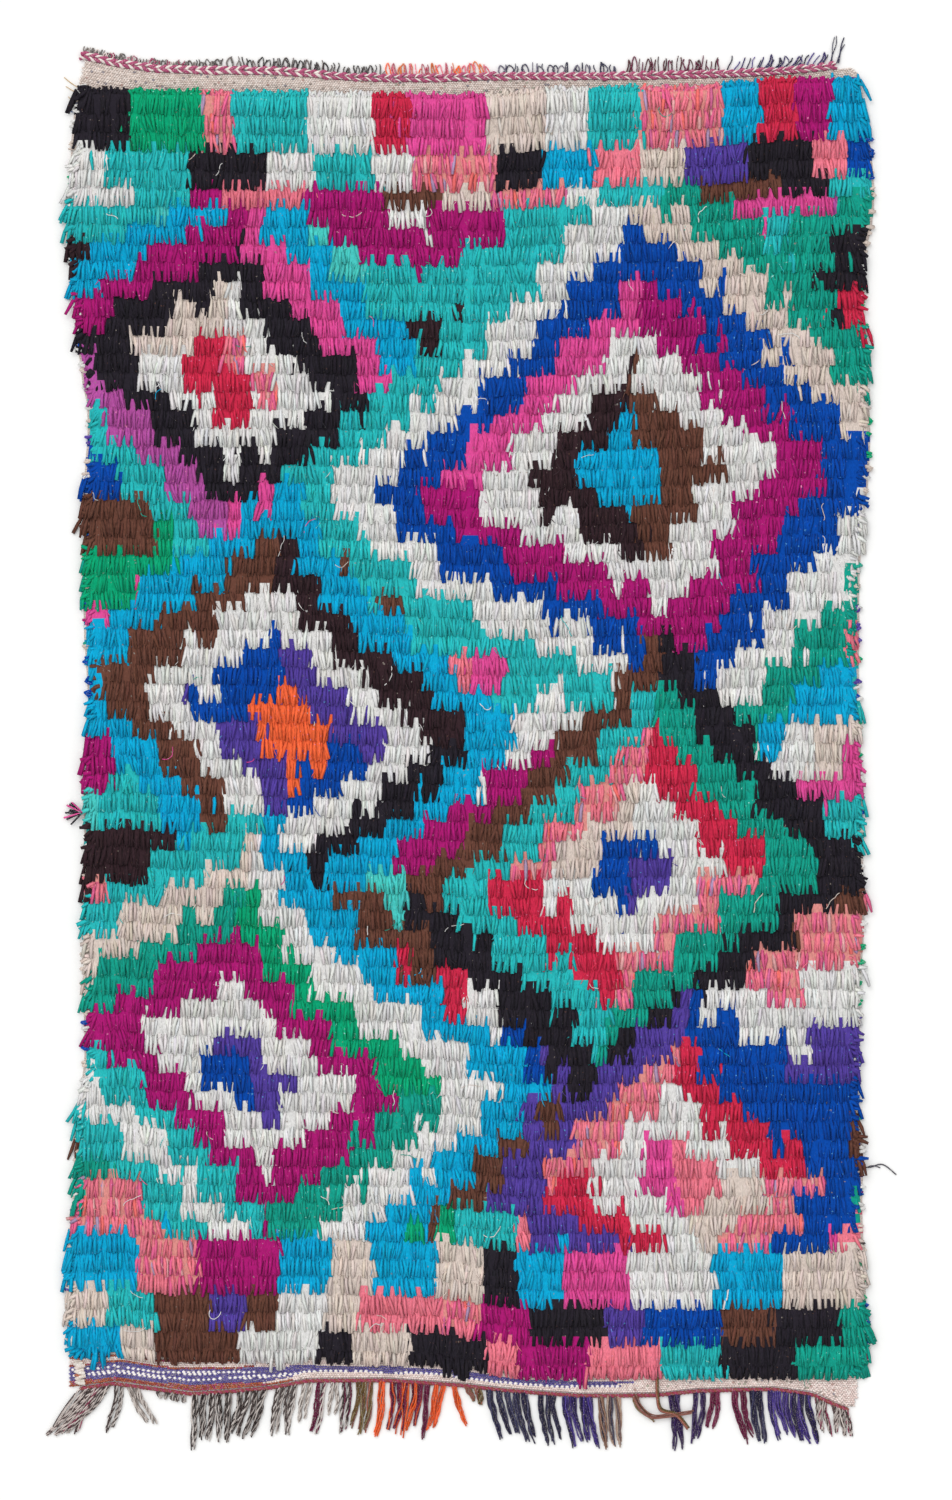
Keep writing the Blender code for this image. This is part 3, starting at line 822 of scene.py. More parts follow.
# Selvedges
# The rag weft that the weaver turns round the outer warps along both long sides: soft strips of
# old cloth, mostly cream, which show as short turns just outside the pile.

TURNS_A_ROW = 2
TURN_WANDER = 0.26
TURN_RADIUS = 0.0034
TURN_FATNESS = (0.65, 1.15)
TURN_OUT = (-0.004, 0.001)
TURN_SLANT = 0.006
NEW_DYE_CHANCE = 0.45
SELVEDGE_SEED = 21
SELVEDGE_DYES = ("white " * 6 + "beige " * 5 + "royal royal purple magenta emerald black teal").split()
# Below the pile the left edge has turns of its own, closer together.
LOW_CORNER_X = -0.665
END_TURN_PITCH = 0.0062
END_TURN_DYES = ("E6DED6", "DCD2C8", "B5654A", "E6DED6", "D8CBC3")
# One turn in section: how far out of the edge it is, and its height.
TURN_SECTION = (
    (-0.014, 0.0044),
    (-0.004, 0.0040),
    (0.0005, 0.0048),
    (-0.001, 0.0064),
    (-0.007, 0.0072),
    (-0.016, 0.0062),
)


def spun_wool(name, streak, hair):
    """Hand-spun wool and cotton yarn: dull, a little hairy, and uneven in shade, with the strands
    of its twist and stray hairs of another colour as short slanting flecks."""
    material, tree, _ = new_material(name)
    place = add(tree, "ShaderNodeTexCoord").outputs["Object"]
    noise = {"Vector": place, "Scale": 420.0, "Detail": 3.0, "Distortion": 0.6}
    uneven = add(tree, "ShaderNodeTexNoise", noise)
    fibrous(material, place, uneven, (0.35, 0.65, streak, 1.12), (640.0, 2.0, 0.64, hair), (0.7, 0.0008))
    return material


def spun_tree():
    """Turns lines into yarns. A line's points say how thick the yarn is, and how far it winds
    round the line and how often in a metre, so that two lines in one place make a twine."""
    inputs = (("Lines", "Geometry"), ("Finish", "Material"), ("Step", "Float"), ("Sides", "Int"))
    tree, given = new_tree("spun_and_twined", inputs, "Yarns")
    thickness, wind, twist, begin = (
        add(tree, "GeometryNodeInputNamedAttribute", {"Name": name}, data_type="FLOAT")
        for name in ("thickness", "wind", "twist", "begin")
    )
    curves = add(tree, "GeometryNodeMeshToCurve", {0: given["Lines"]})
    soft = add(tree, "GeometryNodeCurveSplineType", {0: curves}, spline_type="CATMULL_ROM")
    even = add(tree, "GeometryNodeResampleCurve", {"Curve": soft, "Length": given["Step"]}, mode="LENGTH")
    upright = add(tree, "GeometryNodeSetCurveNormal", {0: even}, mode="Z_UP")
    along = add(tree, "GeometryNodeSplineParameter").outputs["Length"]
    turns = add(tree, "ShaderNodeMath", {0: along, 1: twist}, operation="MULTIPLY")
    begun = add(tree, "ShaderNodeMath", {0: turns, 1: begin}, operation="ADD")
    angle = add(tree, "ShaderNodeMath", {0: begun, 1: 2 * math.pi}, operation="MULTIPLY")
    normal = add(tree, "GeometryNodeInputNormal")
    sides = {0: add(tree, "GeometryNodeInputTangent"), 1: normal}
    beside = add(tree, "ShaderNodeVectorMath", sides, operation="CROSS_PRODUCT")
    up, out = (
        add(
            tree,
            "ShaderNodeVectorMath",
            {0: way, "Scale": add(tree, "ShaderNodeMath", {0: angle}, operation=wave)},
            operation="SCALE",
        )
        for way, wave in ((normal, "COSINE"), (beside, "SINE"))
    )
    ring = add(tree, "ShaderNodeVectorMath", {0: up, 1: out}, operation="ADD")
    wound = add(tree, "ShaderNodeVectorMath", {0: ring, "Scale": wind}, operation="SCALE")
    placed = add(tree, "GeometryNodeSetPosition", {"Geometry": upright, "Offset": wound})
    section = add(tree, "GeometryNodeCurvePrimitiveCircle", {"Resolution": given["Sides"], "Radius": 1.0})
    round_it = {"Curve": placed, "Profile Curve": section, "Scale": thickness, "Fill Caps": True}
    tube = add(tree, "GeometryNodeCurveToMesh", round_it)
    smooth = add(tree, "GeometryNodeSetShadeSmooth", {"Geometry": tube, "Shade Smooth": True})
    end_tree(tree, smooth, given["Finish"])
    return tree


SPUN = spun_tree()


class Yarns:
    """Lines gathered for one piece, each with its colour, thickness and winding at its points."""

    def __init__(self):
        self.spots, self.edges = [], []
        self.values = {"tint": [], "thickness": [], "wind": [], "twist": [], "begin": []}

    def line(self, spots, tint, radius, wind=0.0, twist=0.0, begin=0.0):
        """radius is one number, or one for each point."""
        start, count = len(self.spots), len(spots)
        self.spots += [tuple(float(c) for c in spot) for spot in spots]
        self.edges += [(start + n, start + n + 1) for n in range(count - 1)]
        self.values["tint"] += [tuple(tint)] * count
        self.values["thickness"] += list(np.broadcast_to(radius, count))
        for key, value in (("wind", wind), ("twist", twist), ("begin", begin)):
            self.values[key] += [value] * count

    def spin(self, name, finish, step, sides):
        base = base_mesh(name, self.spots, self.edges, **self.values)
        return grown_by(SPUN, name, base, {"Finish": finish, "Step": step, "Sides": sides})


def dyed(name, dice, spread=0.08):
    """A dye's colour with a little chance in its shade."""
    tint = np.array(linear(DYES.get(name, name)))
    tint[:3] *= 1 + dice.uniform(-spread, spread)
    return np.clip(tint, 0, 1)


def make_selvedges():
    dice = random.Random(SELVEDGE_SEED)
    turns = Yarns()
    for side in (-1, 1):
        dye = "white"
        places = []
        for number in range(TURNS_A_ROW * PILE_ROWS):
            row = number // TURNS_A_ROW + dice.uniform(-TURN_WANDER, TURN_WANDER) + 0.08
            if dice.random() < NEW_DYE_CHANCE:
                dye = dice.choice(SELVEDGE_DYES)
            places.append((float(row_y(max(row, 0), side * 0.7)), dye))
        if side < 0:
            low = float(np.interp(LOW_CORNER_X, *LOWER_END)) + 0.006
            ys = np.arange(low, float(row_y(PILE_ROWS, LOW_CORNER_X)), END_TURN_PITCH)
            dyes = END_TURN_DYES * len(ys)
            places += [(float(y), code) for y, code in zip(ys, dyes)]
        for y, dye in places:
            edge = side_edges(y)[0 if side < 0 else 1]
            out = dice.uniform(*TURN_OUT)
            slant = dice.uniform(-TURN_SLANT, TURN_SLANT)
            fat = TURN_RADIUS * dice.uniform(*TURN_FATNESS)
            spots = [
                (edge + side * (away + out), y + slant * share, height)
                for share, (away, height) in zip(np.linspace(-1, 1, len(TURN_SECTION)), TURN_SECTION)
            ]
            turns.line(spots, dyed(dye, dice), fat)
    piece = turns.spin("selvedge_turns", spun_wool("rag_weft_strips", 0.82, "B8ACA0"), 0.005, 5)
    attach(piece, "root")
    return piece


pieces_on_weave.append(make_selvedges())


# Loose threads on the pile
# Fibres that work out of the rags: fine wisps that lie down along the locks and over the colour
# edges, curly threads left over from frayed cloth, and a few longer tufts and ends.

WISPS = 4200
WISP_SHAPES = ((0.012, 0.003), (0.016, -0.004), (0.020, 0.006), (0.010, -0.002), (0.014, 0.001))
WISP_HALF_WIDTH = 0.0007
WISP_Z = 0.0178
WISP_Z_CHANCE = (-0.0014, 0.0012)
WISP_INSET = 0.012
# Most wisps lie at the tips of a row and the rest further up: their share, and how far down both.
TIP_WISPS = 0.6
TIP_WISP_DOWN = (0.72, 0.98)
HIGH_WISP_DOWN = (0.1, 0.7)
WISP_LIGHTER = (0.9, 1.35)
WISP_PITCH = (-0.10, 0.16)
WISP_YAW_SPREAD = 0.42
WISP_SIZE = (0.6, 1.1)
CURLY_THREADS = 84
CURLY_SPAN = (-1.05, 1.12)
CURLY_INSET = 0.02
CURLY_BEND = 0.25
CURLY_KINK = 0.55
CURLY_DYES = ("white",) * 5 + ("beige", "beige", "pink", "cyan", "turquoise", "teal")
CURLY_RADIUS = 0.0006
CURLY_STEP = 0.0032
CURLY_STEPS = (6, 14)
CURLY_Z = 0.0192
THREAD_SEED = 33

# Ends that stand out from the rug: their colour, thickness, and places as X, Y and Z.
STRAY_ENDS = (
    (
        "4A4650",
        0.0011,
        ((0.694, -0.738, 0.012), (0.712, -0.741, 0.004), (0.735, -0.736, 0.002), (0.759, -0.754, 0.002)),
    ),
    ("4A4650", 0.0009, ((0.700, -0.744, 0.010), (0.716, -0.738, 0.003), (0.731, -0.742, 0.002))),
    ("DD4F97", 0.0016, ((0.690, -1.037, 0.010), (0.706, -1.040, 0.004), (0.716, -1.044, 0.002))),
    ("C9A97C", 0.0008, ((-0.662, 1.142, 0.008), (-0.682, 1.154, 0.003), (-0.697, 1.166, 0.002))),
    ("D2B48C", 0.0008, ((-0.655, 1.135, 0.008), (-0.676, 1.140, 0.003), (-0.694, 1.150, 0.002))),
    ("C9A97C", 0.0007, ((-0.660, 1.130, 0.008), (-0.680, 1.126, 0.004), (-0.690, 1.132, 0.002))),
    (
        "4F6FB0",
        0.0007,
        ((-0.664, 1.122, 0.006), (-0.686, 1.118, 0.003), (-0.690, 1.108, 0.002), (-0.672, 1.104, 0.003)),
    ),
    ("0A9A62", 0.0018, ((-0.650, 1.062, 0.012), (-0.668, 1.052, 0.008), (-0.676, 1.040, 0.004))),
    ("0A9A62", 0.0015, ((-0.654, 1.056, 0.012), (-0.664, 1.040, 0.007), (-0.661, 1.030, 0.005))),
)
# A fat tuft of the left edge: how many strips, where it comes out, how far it reaches and spreads.
SIDE_TUFT = (16, (-0.664, -0.120), 0.032)
SIDE_TUFT_SPREAD = 50


def wisp_mesh(number, length, curl):
    """A thin sliver that curves to one side, from its middle towards both ends."""
    rings = []
    for share in (0.0, 0.35, 0.7, 1.0):
        half = WISP_HALF_WIDTH * (1.0 if 0.0 < share < 1.0 else 0.45)
        x, y, z = curl * share * share, -length * share, 0.0015 * math.sin(math.pi * share)
        rings.append([(x - half, y, z - half * 0.5), (x, y, z + half * 0.6), (x + half, y, z - half * 0.5)])
    return three_sided(f"wisp_{number}", rings)


def make_wisps():
    dice = np.random.default_rng(THREAD_SEED)
    row = dice.integers(0, PILE_ROWS, WISPS)
    share = dice.random(WISPS)
    left, right = side_edges(row_y(row + 0.5, np.zeros(WISPS)))
    x = left + WISP_INSET + share * (right - left - 2 * WISP_INSET)
    at_tips = dice.random(WISPS) < TIP_WISPS
    down = np.where(at_tips, dice.uniform(*TIP_WISP_DOWN, WISPS), dice.uniform(*HIGH_WISP_DOWN, WISPS))
    place = np.stack([x, row_y(row + down, x), WISP_Z + dice.uniform(*WISP_Z_CHANCE, WISPS)], 1)
    _, tint = rag_tints(row, x - CORNER_X + dice.uniform(-0.006, 0.006, WISPS), dice)
    tint[:, :3] = np.clip(tint[:, :3] * dice.uniform(*WISP_LIGHTER, WISPS)[:, None] + 0.01, 0, 1)
    pitch, yaw = dice.uniform(*WISP_PITCH, WISPS), dice.normal(0, WISP_YAW_SPREAD, WISPS)
    turn = np.stack([pitch, np.zeros(WISPS), yaw], 1)
    size = np.ones((WISPS, 3)) * dice.uniform(*WISP_SIZE, WISPS)[:, None]
    shape = dice.integers(0, len(WISP_SHAPES), WISPS)
    base = base_mesh("wisps", place, tint=tint, turn=turn, size=size, shape=shape)
    shapes = shape_set("wisp_shapes", [wisp_mesh(n, *values) for n, values in enumerate(WISP_SHAPES)])
    finish = rag_pile("frayed_rag_fibres", 0.85, "D9D8D6")
    piece = laid("wisps", base, shapes, finish, THREAD_SEED, (0.02, 0.3, 0.1), (0.1, 0.1))
    drop_shapes(shapes)
    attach(piece, "root")
    return piece


def make_threads():
    dice = random.Random(THREAD_SEED)
    threads = Yarns()
    for _ in range(CURLY_THREADS):
        y = dice.uniform(*CURLY_SPAN)
        left, right = side_edges(y)
        spot = np.array([dice.uniform(left + CURLY_INSET, right - CURLY_INSET), y])
        heading, bend = dice.uniform(-math.pi, math.pi), dice.uniform(-CURLY_BEND, CURLY_BEND)
        spots = []
        for step in range(dice.randint(*CURLY_STEPS)):
            spots.append((*spot, CURLY_Z + 0.0014 * math.sin(step * 1.3)))
            heading += bend + dice.uniform(-CURLY_KINK, CURLY_KINK)
            spot = spot + CURLY_STEP * np.array([math.cos(heading), math.sin(heading)])
        threads.line(spots, dyed(dice.choice(CURLY_DYES), dice), CURLY_RADIUS * dice.uniform(0.8, 1.3))
    for code, radius, spots in STRAY_ENDS:
        threads.line(spots, dyed(code, dice), radius)
    count, (x, y), reach = SIDE_TUFT
    for _ in range(count):
        angle = math.radians(180 + dice.uniform(-SIDE_TUFT_SPREAD, SIDE_TUFT_SPREAD))
        far = reach * dice.uniform(0.6, 1.1)
        spots = [
            (x + far * s * math.cos(angle), y + far * s * math.sin(angle), 0.014 - 0.009 * s)
            for s in (0, 0.5, 1)
        ]
        threads.line(spots, dyed(dice.choice(("black", "black", "DD4F97")), dice), 0.0016)
    piece = threads.spin("loose_threads", spun_wool("frayed_threads", 0.85, "D9D8D6"), 0.004, 4)
    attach(piece, "root")
    return piece


pieces_on_weave += [make_wisps(), make_threads()]


# Flat-woven ends
# Beyond the pile the weaver beats in plain wefts: ivory with flecks at the upper end, and at the
# lower end bands of blue and rust with rows of white dots. Each float of weft is a small nub.

NUB_PITCH = 0.0044
NUB_LINE = 0.0032
NUB_HALF = (0.0034, 0.0023, 0.0015)
NUB_Z = WEAVE_THICKNESS + 0.0004
LOWER_LINE = 0.0034
BAND_SEED = 45
IVORY = ("E6D9D1", "DED0C8", "EADFD8", "D6C7BE")
FLECKS = ("A89C94", "BC9C94", "B4B4A4", "928C94")
FLECK_SHARE = 0.05
PINKISH_IVORY = ("F0DFDA", "E8D6D0", "F2E6E0", "E2CEC8")
DOT = "F4EFEB"
DOT_SIZE = 1.4
BLUE_WEFT = ("605896", "6A62A4", "58508E")
RUST_WEFT = ("A4563A", "B5654A", "9A4A44", "A8456B")
# The lower band down its width: where a stripe ends, and its wefts. The left part has more
# stripes, the blue fades out beyond the middle of the rug, and the right part is plain ivory.
LEFT_STRIPES = (
    (0.09, RUST_WEFT),
    (0.24, PINKISH_IVORY),
    (0.32, RUST_WEFT),
    (0.40, BLUE_WEFT),
    (0.48, "dots"),
    (0.60, BLUE_WEFT),
    (0.69, "dots"),
    (0.83, BLUE_WEFT),
    (1.01, RUST_WEFT),
)
MIDDLE_STRIPES = ((0.30, PINKISH_IVORY), (0.60, BLUE_WEFT), (0.72, "dots"), (1.01, PINKISH_IVORY))
DOTS_LEFT_OUT = 0.05
LEFT_STRIPES_END = 0.365
MIDDLE_STRIPES_END = 0.975
STRIPE_ENDS_VARY = 0.035


def nub_mesh():
    """One float of weft as a soft spindle."""
    x, y, z = NUB_HALF
    spots = [(-x, 0, 0), (x, 0, 0), (0, -y, 0), (0, y, 0), (0, 0, -z), (0, 0, z)]
    faces = [(0, 2, 5), (2, 1, 5), (1, 3, 5), (3, 0, 5), (2, 0, 4), (1, 2, 4), (3, 1, 4), (0, 3, 4)]
    return smooth_mesh("weft_float", spots, faces)


def lower_weft(share, across, number, dice):
    """The colour of a float in the lower band."""
    across += STRIPE_ENDS_VARY * math.sin(31 * share)
    if across > MIDDLE_STRIPES_END:
        return dice.choice(FLECKS if dice.random() < FLECK_SHARE else PINKISH_IVORY)
    for end, wefts in LEFT_STRIPES if across < LEFT_STRIPES_END else MIDDLE_STRIPES:
        if share < end:
            break
    if wefts == "dots":
        return DOT if number % 2 and dice.random() > DOTS_LEFT_OUT else dice.choice(BLUE_WEFT)
    return dice.choice(wefts)


def make_flat_ends():
    dice = random.Random(BAND_SEED)
    places, tints, sizes = [], [], []
    low, high = LOWER_END[0][0] + 0.004, UPPER_END[0][-1] - 0.002
    for number in range(int((high - low) / NUB_PITCH)):
        x = low + (number + 0.5) * NUB_PITCH
        upper, first = float(np.interp(x, *UPPER_END)), float(row_y(0, x))
        for line in range(int((upper - first + 0.006) / NUB_LINE)):
            y = upper - (line + 0.5) * NUB_LINE
            if x < side_edges(y)[0]:
                continue
            places.append((x + NUB_PITCH / 2 * (line % 2), y, NUB_Z))
            code = dice.choice(FLECKS if dice.random() < FLECK_SHARE else IVORY)
            tints.append(dyed(code, dice, 0.05))
            sizes.append(1.0)
        last, lower = float(row_y(PILE_ROWS, x)), float(np.interp(x, *LOWER_END))
        lines = max(6, round((last - lower) / LOWER_LINE))
        for line in range(lines):
            share = (line + 0.5) / lines
            places.append((x + NUB_PITCH / 2 * (line % 2), last + (lower - last) * share, NUB_Z))
            code = lower_weft(share, x - CORNER_X, number, dice)
            tints.append(dyed(code, dice, 0.05))
            sizes.append(DOT_SIZE if code == DOT else 1.0)
    count = len(places)
    flat, size = np.zeros((count, 3)), np.repeat(sizes, 3).reshape(count, 3)
    base = base_mesh("flat_woven_ends", places, tint=tints, turn=flat, size=size, shape=np.zeros(count))
    shapes = shape_set("weft_floats", [nub_mesh()])
    finish = spun_wool("woven_weft_floats", 0.96, "DCCFC8")
    piece = laid("flat_woven_ends", base, shapes, finish, BAND_SEED, (0.02, 0.12, 0.3), (0.08, 0.16))
    drop_shapes(shapes)
    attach(piece, "root")
    return piece


pieces_on_weave.append(make_flat_ends())


# Upper cord and warp tips
# Two rows of two-strand twining in rose and white wool lock the last weft. The warps come out of
# it as short cut ends and small loops of dark wool, which lie on the floor.

CORD_SEAT = 0.0008
UPPER_CORD_RADIUS = 0.0065
UPPER_CORD_SPAN = (0.028, 1.356)
TWINE_PITCH = 0.0176
TWINE_STEP = 0.0026
TWINE_ROW = 0.0034
TWINE_Z = 0.0052
TWINE_WIND = 0.0017
TWINE_WANDER = 0.0013
ROSE_RADIUS = 0.0032
WHITE_RADIUS = 0.0024
WHITE_THIN_FROM = 0.45
WHITE_THIN = 0.62
TIP_RADIUS = (0.0010, 0.0016)
TIP_REACH = (0.65, 1.15)
TIP_CURL = 0.0022
TIP_DRIFT = 0.004
LOOP_HALF_WIDTH = (0.0025, 0.0055)
ROSE_VARIES = (0.85, 1.15)
WHITE_VARIES = (0.6, 1.2)
TIP_ROOT_Z = 0.0046
TIP_Z = 0.0020
TIP_SEED = "upper_warp_tips"

# Runs of warp tips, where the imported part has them, with their yarns' colours and loops' share.
TipRun = namedtuple("TipRun", "start stop yarns length lean colours loops")
UPPER_TIPS = (
    TipRun(0.030, 0.220, 60, 0.012, 0.003, "6F6A68 8A827E A8456B 4A3F3E D8CCC6", 0.6),
    TipRun(0.225, 0.275, 13, 0.015, 0.000, "6F6A68 9A928E 4A3F3E", 0.6),
    TipRun(0.285, 0.560, 46, 0.019, 0.001, "4A4546 3A3637 7A7270", 0.35),
    TipRun(0.565, 0.745, 30, 0.021, -0.002, "E07A4A EA7A8C F2683C B85A6C", 0.5),
    TipRun(0.755, 0.965, 26, 0.019, 0.001, "4A4A5E 3C3C50 6A6478", 0.35),
    TipRun(0.980, 1.145, 27, 0.027, 0.002, "5A3238 4A2A30 6B2344", 0.3),
    TipRun(1.155, 1.330, 19, 0.026, 0.011, "2E2B45 3B2F66 4A3A86", 0.25),
    TipRun(1.334, 1.356, 4, 0.050, 0.012, "4A4A5E 3C3C50", 0.0),
)


def beside_end(line, side, x, away):
    """Y of the point that lies a distance outside the end of the cloth at X, square to it."""
    y = float(np.interp(x, *line))
    slope = (float(np.interp(x + 0.01, *line)) - float(np.interp(x - 0.01, *line))) / 0.02
    return y + side * away * math.hypot(1, slope)


def make_upper_cord():
    dice = random.Random(TIP_SEED)
    yarns = Yarns()
    middle = CORD_SEAT + UPPER_CORD_RADIUS
    xs = np.arange(UPPER_CORD_SPAN[0] + CORNER_X, UPPER_CORD_SPAN[1] + CORNER_X, 0.008)
    thin = np.where(xs - CORNER_X > WHITE_THIN_FROM, WHITE_THIN, 1.0)
    for row, twist in ((-1, 1), (1, -1)):
        spots = []
        for x in xs:
            away = middle + row * TWINE_ROW + dice.uniform(-TWINE_WANDER, TWINE_WANDER)
            along = x + dice.uniform(-2, 2) * TWINE_WANDER
            spots.append((along, beside_end(UPPER_END, 1, x, away), TWINE_Z))
        rose = [ROSE_RADIUS * dice.uniform(*ROSE_VARIES) for _ in xs]
        white = thin * [WHITE_RADIUS * dice.uniform(*WHITE_VARIES) for _ in xs]
        for code, radius, begin in (("AE5276", rose, 0.0), ("E4DAD4", white, 0.5)):
            yarns.line(spots, dyed(code, dice), radius, TWINE_WIND, twist / TWINE_PITCH, begin)
    for run in UPPER_TIPS:
        for number in range(run.yarns):
            place = (number + dice.uniform(0.2, 0.8)) * (run.stop - run.start) / run.yarns
            x = run.start + CORNER_X + place
            y = beside_end(UPPER_END, 1, x, middle + TWINE_ROW)
            far = y + run.length * dice.uniform(*TIP_REACH)
            tip = x + run.lean + dice.uniform(-TIP_DRIFT, TIP_DRIFT)
            tint = dyed(dice.choice(run.colours.split()), dice, 0.15)
            curl = [dice.uniform(-TIP_CURL, TIP_CURL) for _ in range(3)]
            if dice.random() < run.loops:
                wide = dice.uniform(*LOOP_HALF_WIDTH)
                spots = [
                    (x - wide * 0.6, y, TIP_ROOT_Z),
                    (tip - wide + curl[0], (y + far) / 2, 0.0024),
                    (tip + curl[1], far, TIP_Z),
                    (tip + wide + curl[2], (y + far) / 2, 0.0026),
                    (x + wide * 0.6, y, TIP_ROOT_Z),
                ]
            else:
                spots = [
                    (x, y, TIP_ROOT_Z),
                    (x * 0.7 + tip * 0.3 + curl[0], y * 0.7 + far * 0.3, 0.0034),
                    (x * 0.3 + tip * 0.7 - curl[1], y * 0.3 + far * 0.7, 0.0024),
                    (tip, far, TIP_Z),
                ]
            yarns.line(spots, tint, dice.uniform(*TIP_RADIUS) * np.linspace(1.0, 0.8, len(spots)))
    piece = yarns.spin("upper_cord", spun_wool("rose_and_white_twined_wool", 0.85, "E3DCD6"), TWINE_STEP, 5)
    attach(piece, "root")
    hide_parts("upper_warp_tips")
    return piece


pieces_on_weave.append(make_upper_cord())


# Lower cord and warp fringe
# One row of twining in rose, rust and burgundy wool, and the uncut warps below it: hand-spun
# yarns of two plies that hang together in uneven locks, some marled grey and white.

LOWER_CORD_RADIUS = 0.0042
LOWER_CORD_SPAN = (0.026, 1.377)
LOWER_TWINE_PITCH = 0.0125
LOWER_TWINE_Z = 0.0042
LOWER_TWINE_WIND = 0.0014
LOWER_STRAND = 0.0026
FRINGE_SEED = "lower_warp_fringe"
ROOT_DRIFT = 0.08
LENGTH_SPREAD = 0.10
FRINGE_RADIUS = 0.0070
RADIUS_OF_PITCH = 0.50
TIP_SPACING = 1.3
TIP_CLEARANCE = 0.0015
YARN_RADIUS = 0.00175
YARN_SPACING = 0.0020
YARN_Z = 0.0023
YARN_CURL = 0.0014
YARN_REACH = (0.84, 1.03)
YARN_POINTS = 9
LOCK_TURN = (1.0, 4.0)
LOCK_SWAY = (0.0008, 0.0026)
MARLED_SINGLE = 0.80
PLY_RADIUS = 0.00120
PLY_WIND = 0.00085
PLY_PITCH = 0.0150
# Warps apart from the locks: some were drawn out and looped back over the fringe, and some lie
# loose at the left corner. Their wool, height, number and spread, and their way as X and Y.
LOOPED = (
    ((0.300, -1.139), (0.312, -1.162), (0.331, -1.176), (0.360, -1.175), (0.402, -1.168)),
    ((0.340, -1.110), (0.341, -1.140), (0.347, -1.164), (0.374, -1.173), (0.395, -1.197)),
)
AT_CORNER = (
    ((-0.674, -1.134), (-0.688, -1.152), (-0.701, -1.171), (-0.713, -1.192)),
    ((-0.648, -1.134), (-0.656, -1.156), (-0.668, -1.180), (-0.676, -1.204)),
)
LOOSE_WARPS = (
    ("olive", 0.0095, 4, 0.003, LOOPED[0]),
    ("olive", 0.0095, 4, 0.003, LOOPED[1]),
    ("rose_marl", 0.0045, 8, 0.006, AT_CORNER[0]),
    ("rose_marl", 0.0040, 7, 0.006, AT_CORNER[1]),
)

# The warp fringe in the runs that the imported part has: where a run starts and stops across the
# rug, how many locks of yarn it has, how long they are, how far they lean and bow, and their wool.
LOWER_FRINGE = (
    (0.033, 0.084, 4, 0.084, -0.072, 0.004, "rose_marl"),
    (0.086, 0.104, 2, 0.082, -0.018, 0.002, "grey_marl"),
    (0.106, 0.130, 2, 0.066, 0.032, -0.003, "pale_marl"),
    (0.160, 0.214, 5, 0.016, 0.000, 0.000, "grey_marl"),
    (0.219, 0.292, 5, 0.090, -0.004, 0.002, "dark_marl"),
    (0.297, 0.356, 4, 0.080, -0.034, 0.003, "dark_marl"),
    (0.368, 0.410, 4, 0.088, -0.013, -0.002, "grey_marl"),
    (0.414, 0.434, 2, 0.068, -0.010, 0.001, "pale_marl"),
    (0.440, 0.460, 2, 0.100, -0.018, 0.002, "burgundy_marl"),
    (0.463, 0.481, 2, 0.066, -0.006, 0.001, "pale_marl"),
    (0.484, 0.502, 2, 0.092, -0.006, 0.001, "burgundy_marl"),
    (0.508, 0.540, 3, 0.088, -0.011, 0.003, "olive"),
    (0.546, 0.562, 1, 0.100, -0.012, 0.003, "orange"),
    (0.568, 0.640, 6, 0.088, -0.010, 0.002, "burgundy_orange"),
    (0.645, 0.667, 2, 0.080, -0.018, 0.003, "orange"),
    (0.674, 0.686, 1, 0.075, 0.024, -0.005, "orange"),
    (0.696, 0.730, 2, 0.030, 0.006, 0.000, "olive"),
    (0.736, 0.812, 5, 0.084, 0.020, -0.005, "navy"),
    (0.828, 0.860, 3, 0.085, 0.010, -0.003, "navy"),
    (0.868, 0.924, 4, 0.088, 0.014, -0.003, "purple"),
    (0.930, 0.972, 3, 0.090, 0.009, -0.002, "brown_beige"),
    (0.990, 1.008, 1, 0.042, 0.030, -0.006, "olive"),
    (1.052, 1.076, 2, 0.096, 0.008, 0.001, "dark_purple"),
    (1.098, 1.120, 2, 0.084, -0.006, 0.002, "dark_purple"),
    (1.126, 1.146, 2, 0.072, -0.008, 0.002, "burgundy"),
    (1.164, 1.190, 2, 0.086, 0.020, -0.004, "burgundy"),
    (1.194, 1.220, 2, 0.090, 0.012, -0.002, "navy"),
    (1.228, 1.306, 6, 0.086, 0.015, -0.004, "purple"),
    (1.310, 1.332, 2, 0.064, 0.012, -0.002, "rose_marl"),
    (1.337, 1.372, 3, 0.050, 0.008, 0.001, "rose_marl"),
)
# Each wool as the colours of its yarns, and for a marled yarn of its two plies.
WOOLS = {
    "rose_marl": "C9BDB8-5A4A4A 8A3A55-D0C6C0 B9AFAA-4A3F3E",
    "grey_marl": "C9C2BE-4A3F3E B8B0AB-5A504E",
    "dark_marl": "BDB5B0-3E3635 9C9490-3A3332 C9C2BE-4A3F3E",
    "pale_marl": "D8D0CA-8A807B CFC6C0-9A908A",
    "burgundy_marl": "6B2344-5A2038 D0C8C3-6B2344 C9C2BE-4A3F3E",
    "olive": "6A5230-7A6240 8A7A5A-5A4A30 B06A5A-8A5A50",
    "orange": "E0602E-C8502A F2683C-D85A30",
    "burgundy_orange": "6B2344-5A2038 E0602E-C8502A 7A2A48-6B2344",
    "navy": "2E2B45-26243A 3C3C58-2E2B45 4A4A66-34324C",
    "purple": "4A3A86-3B2F66 2E2B45-3B2F66 5A4A90-4A3A86",
    "dark_purple": "3B2A55-2E2040 4A3A66-3B2A55",
    "brown_beige": "8A6A5A-B09A8A 6A5A5E-4A4A5E C0A090-8A6A5A",
    "burgundy": "6B2344-5A2038 7A2F4F-6B2344",
}


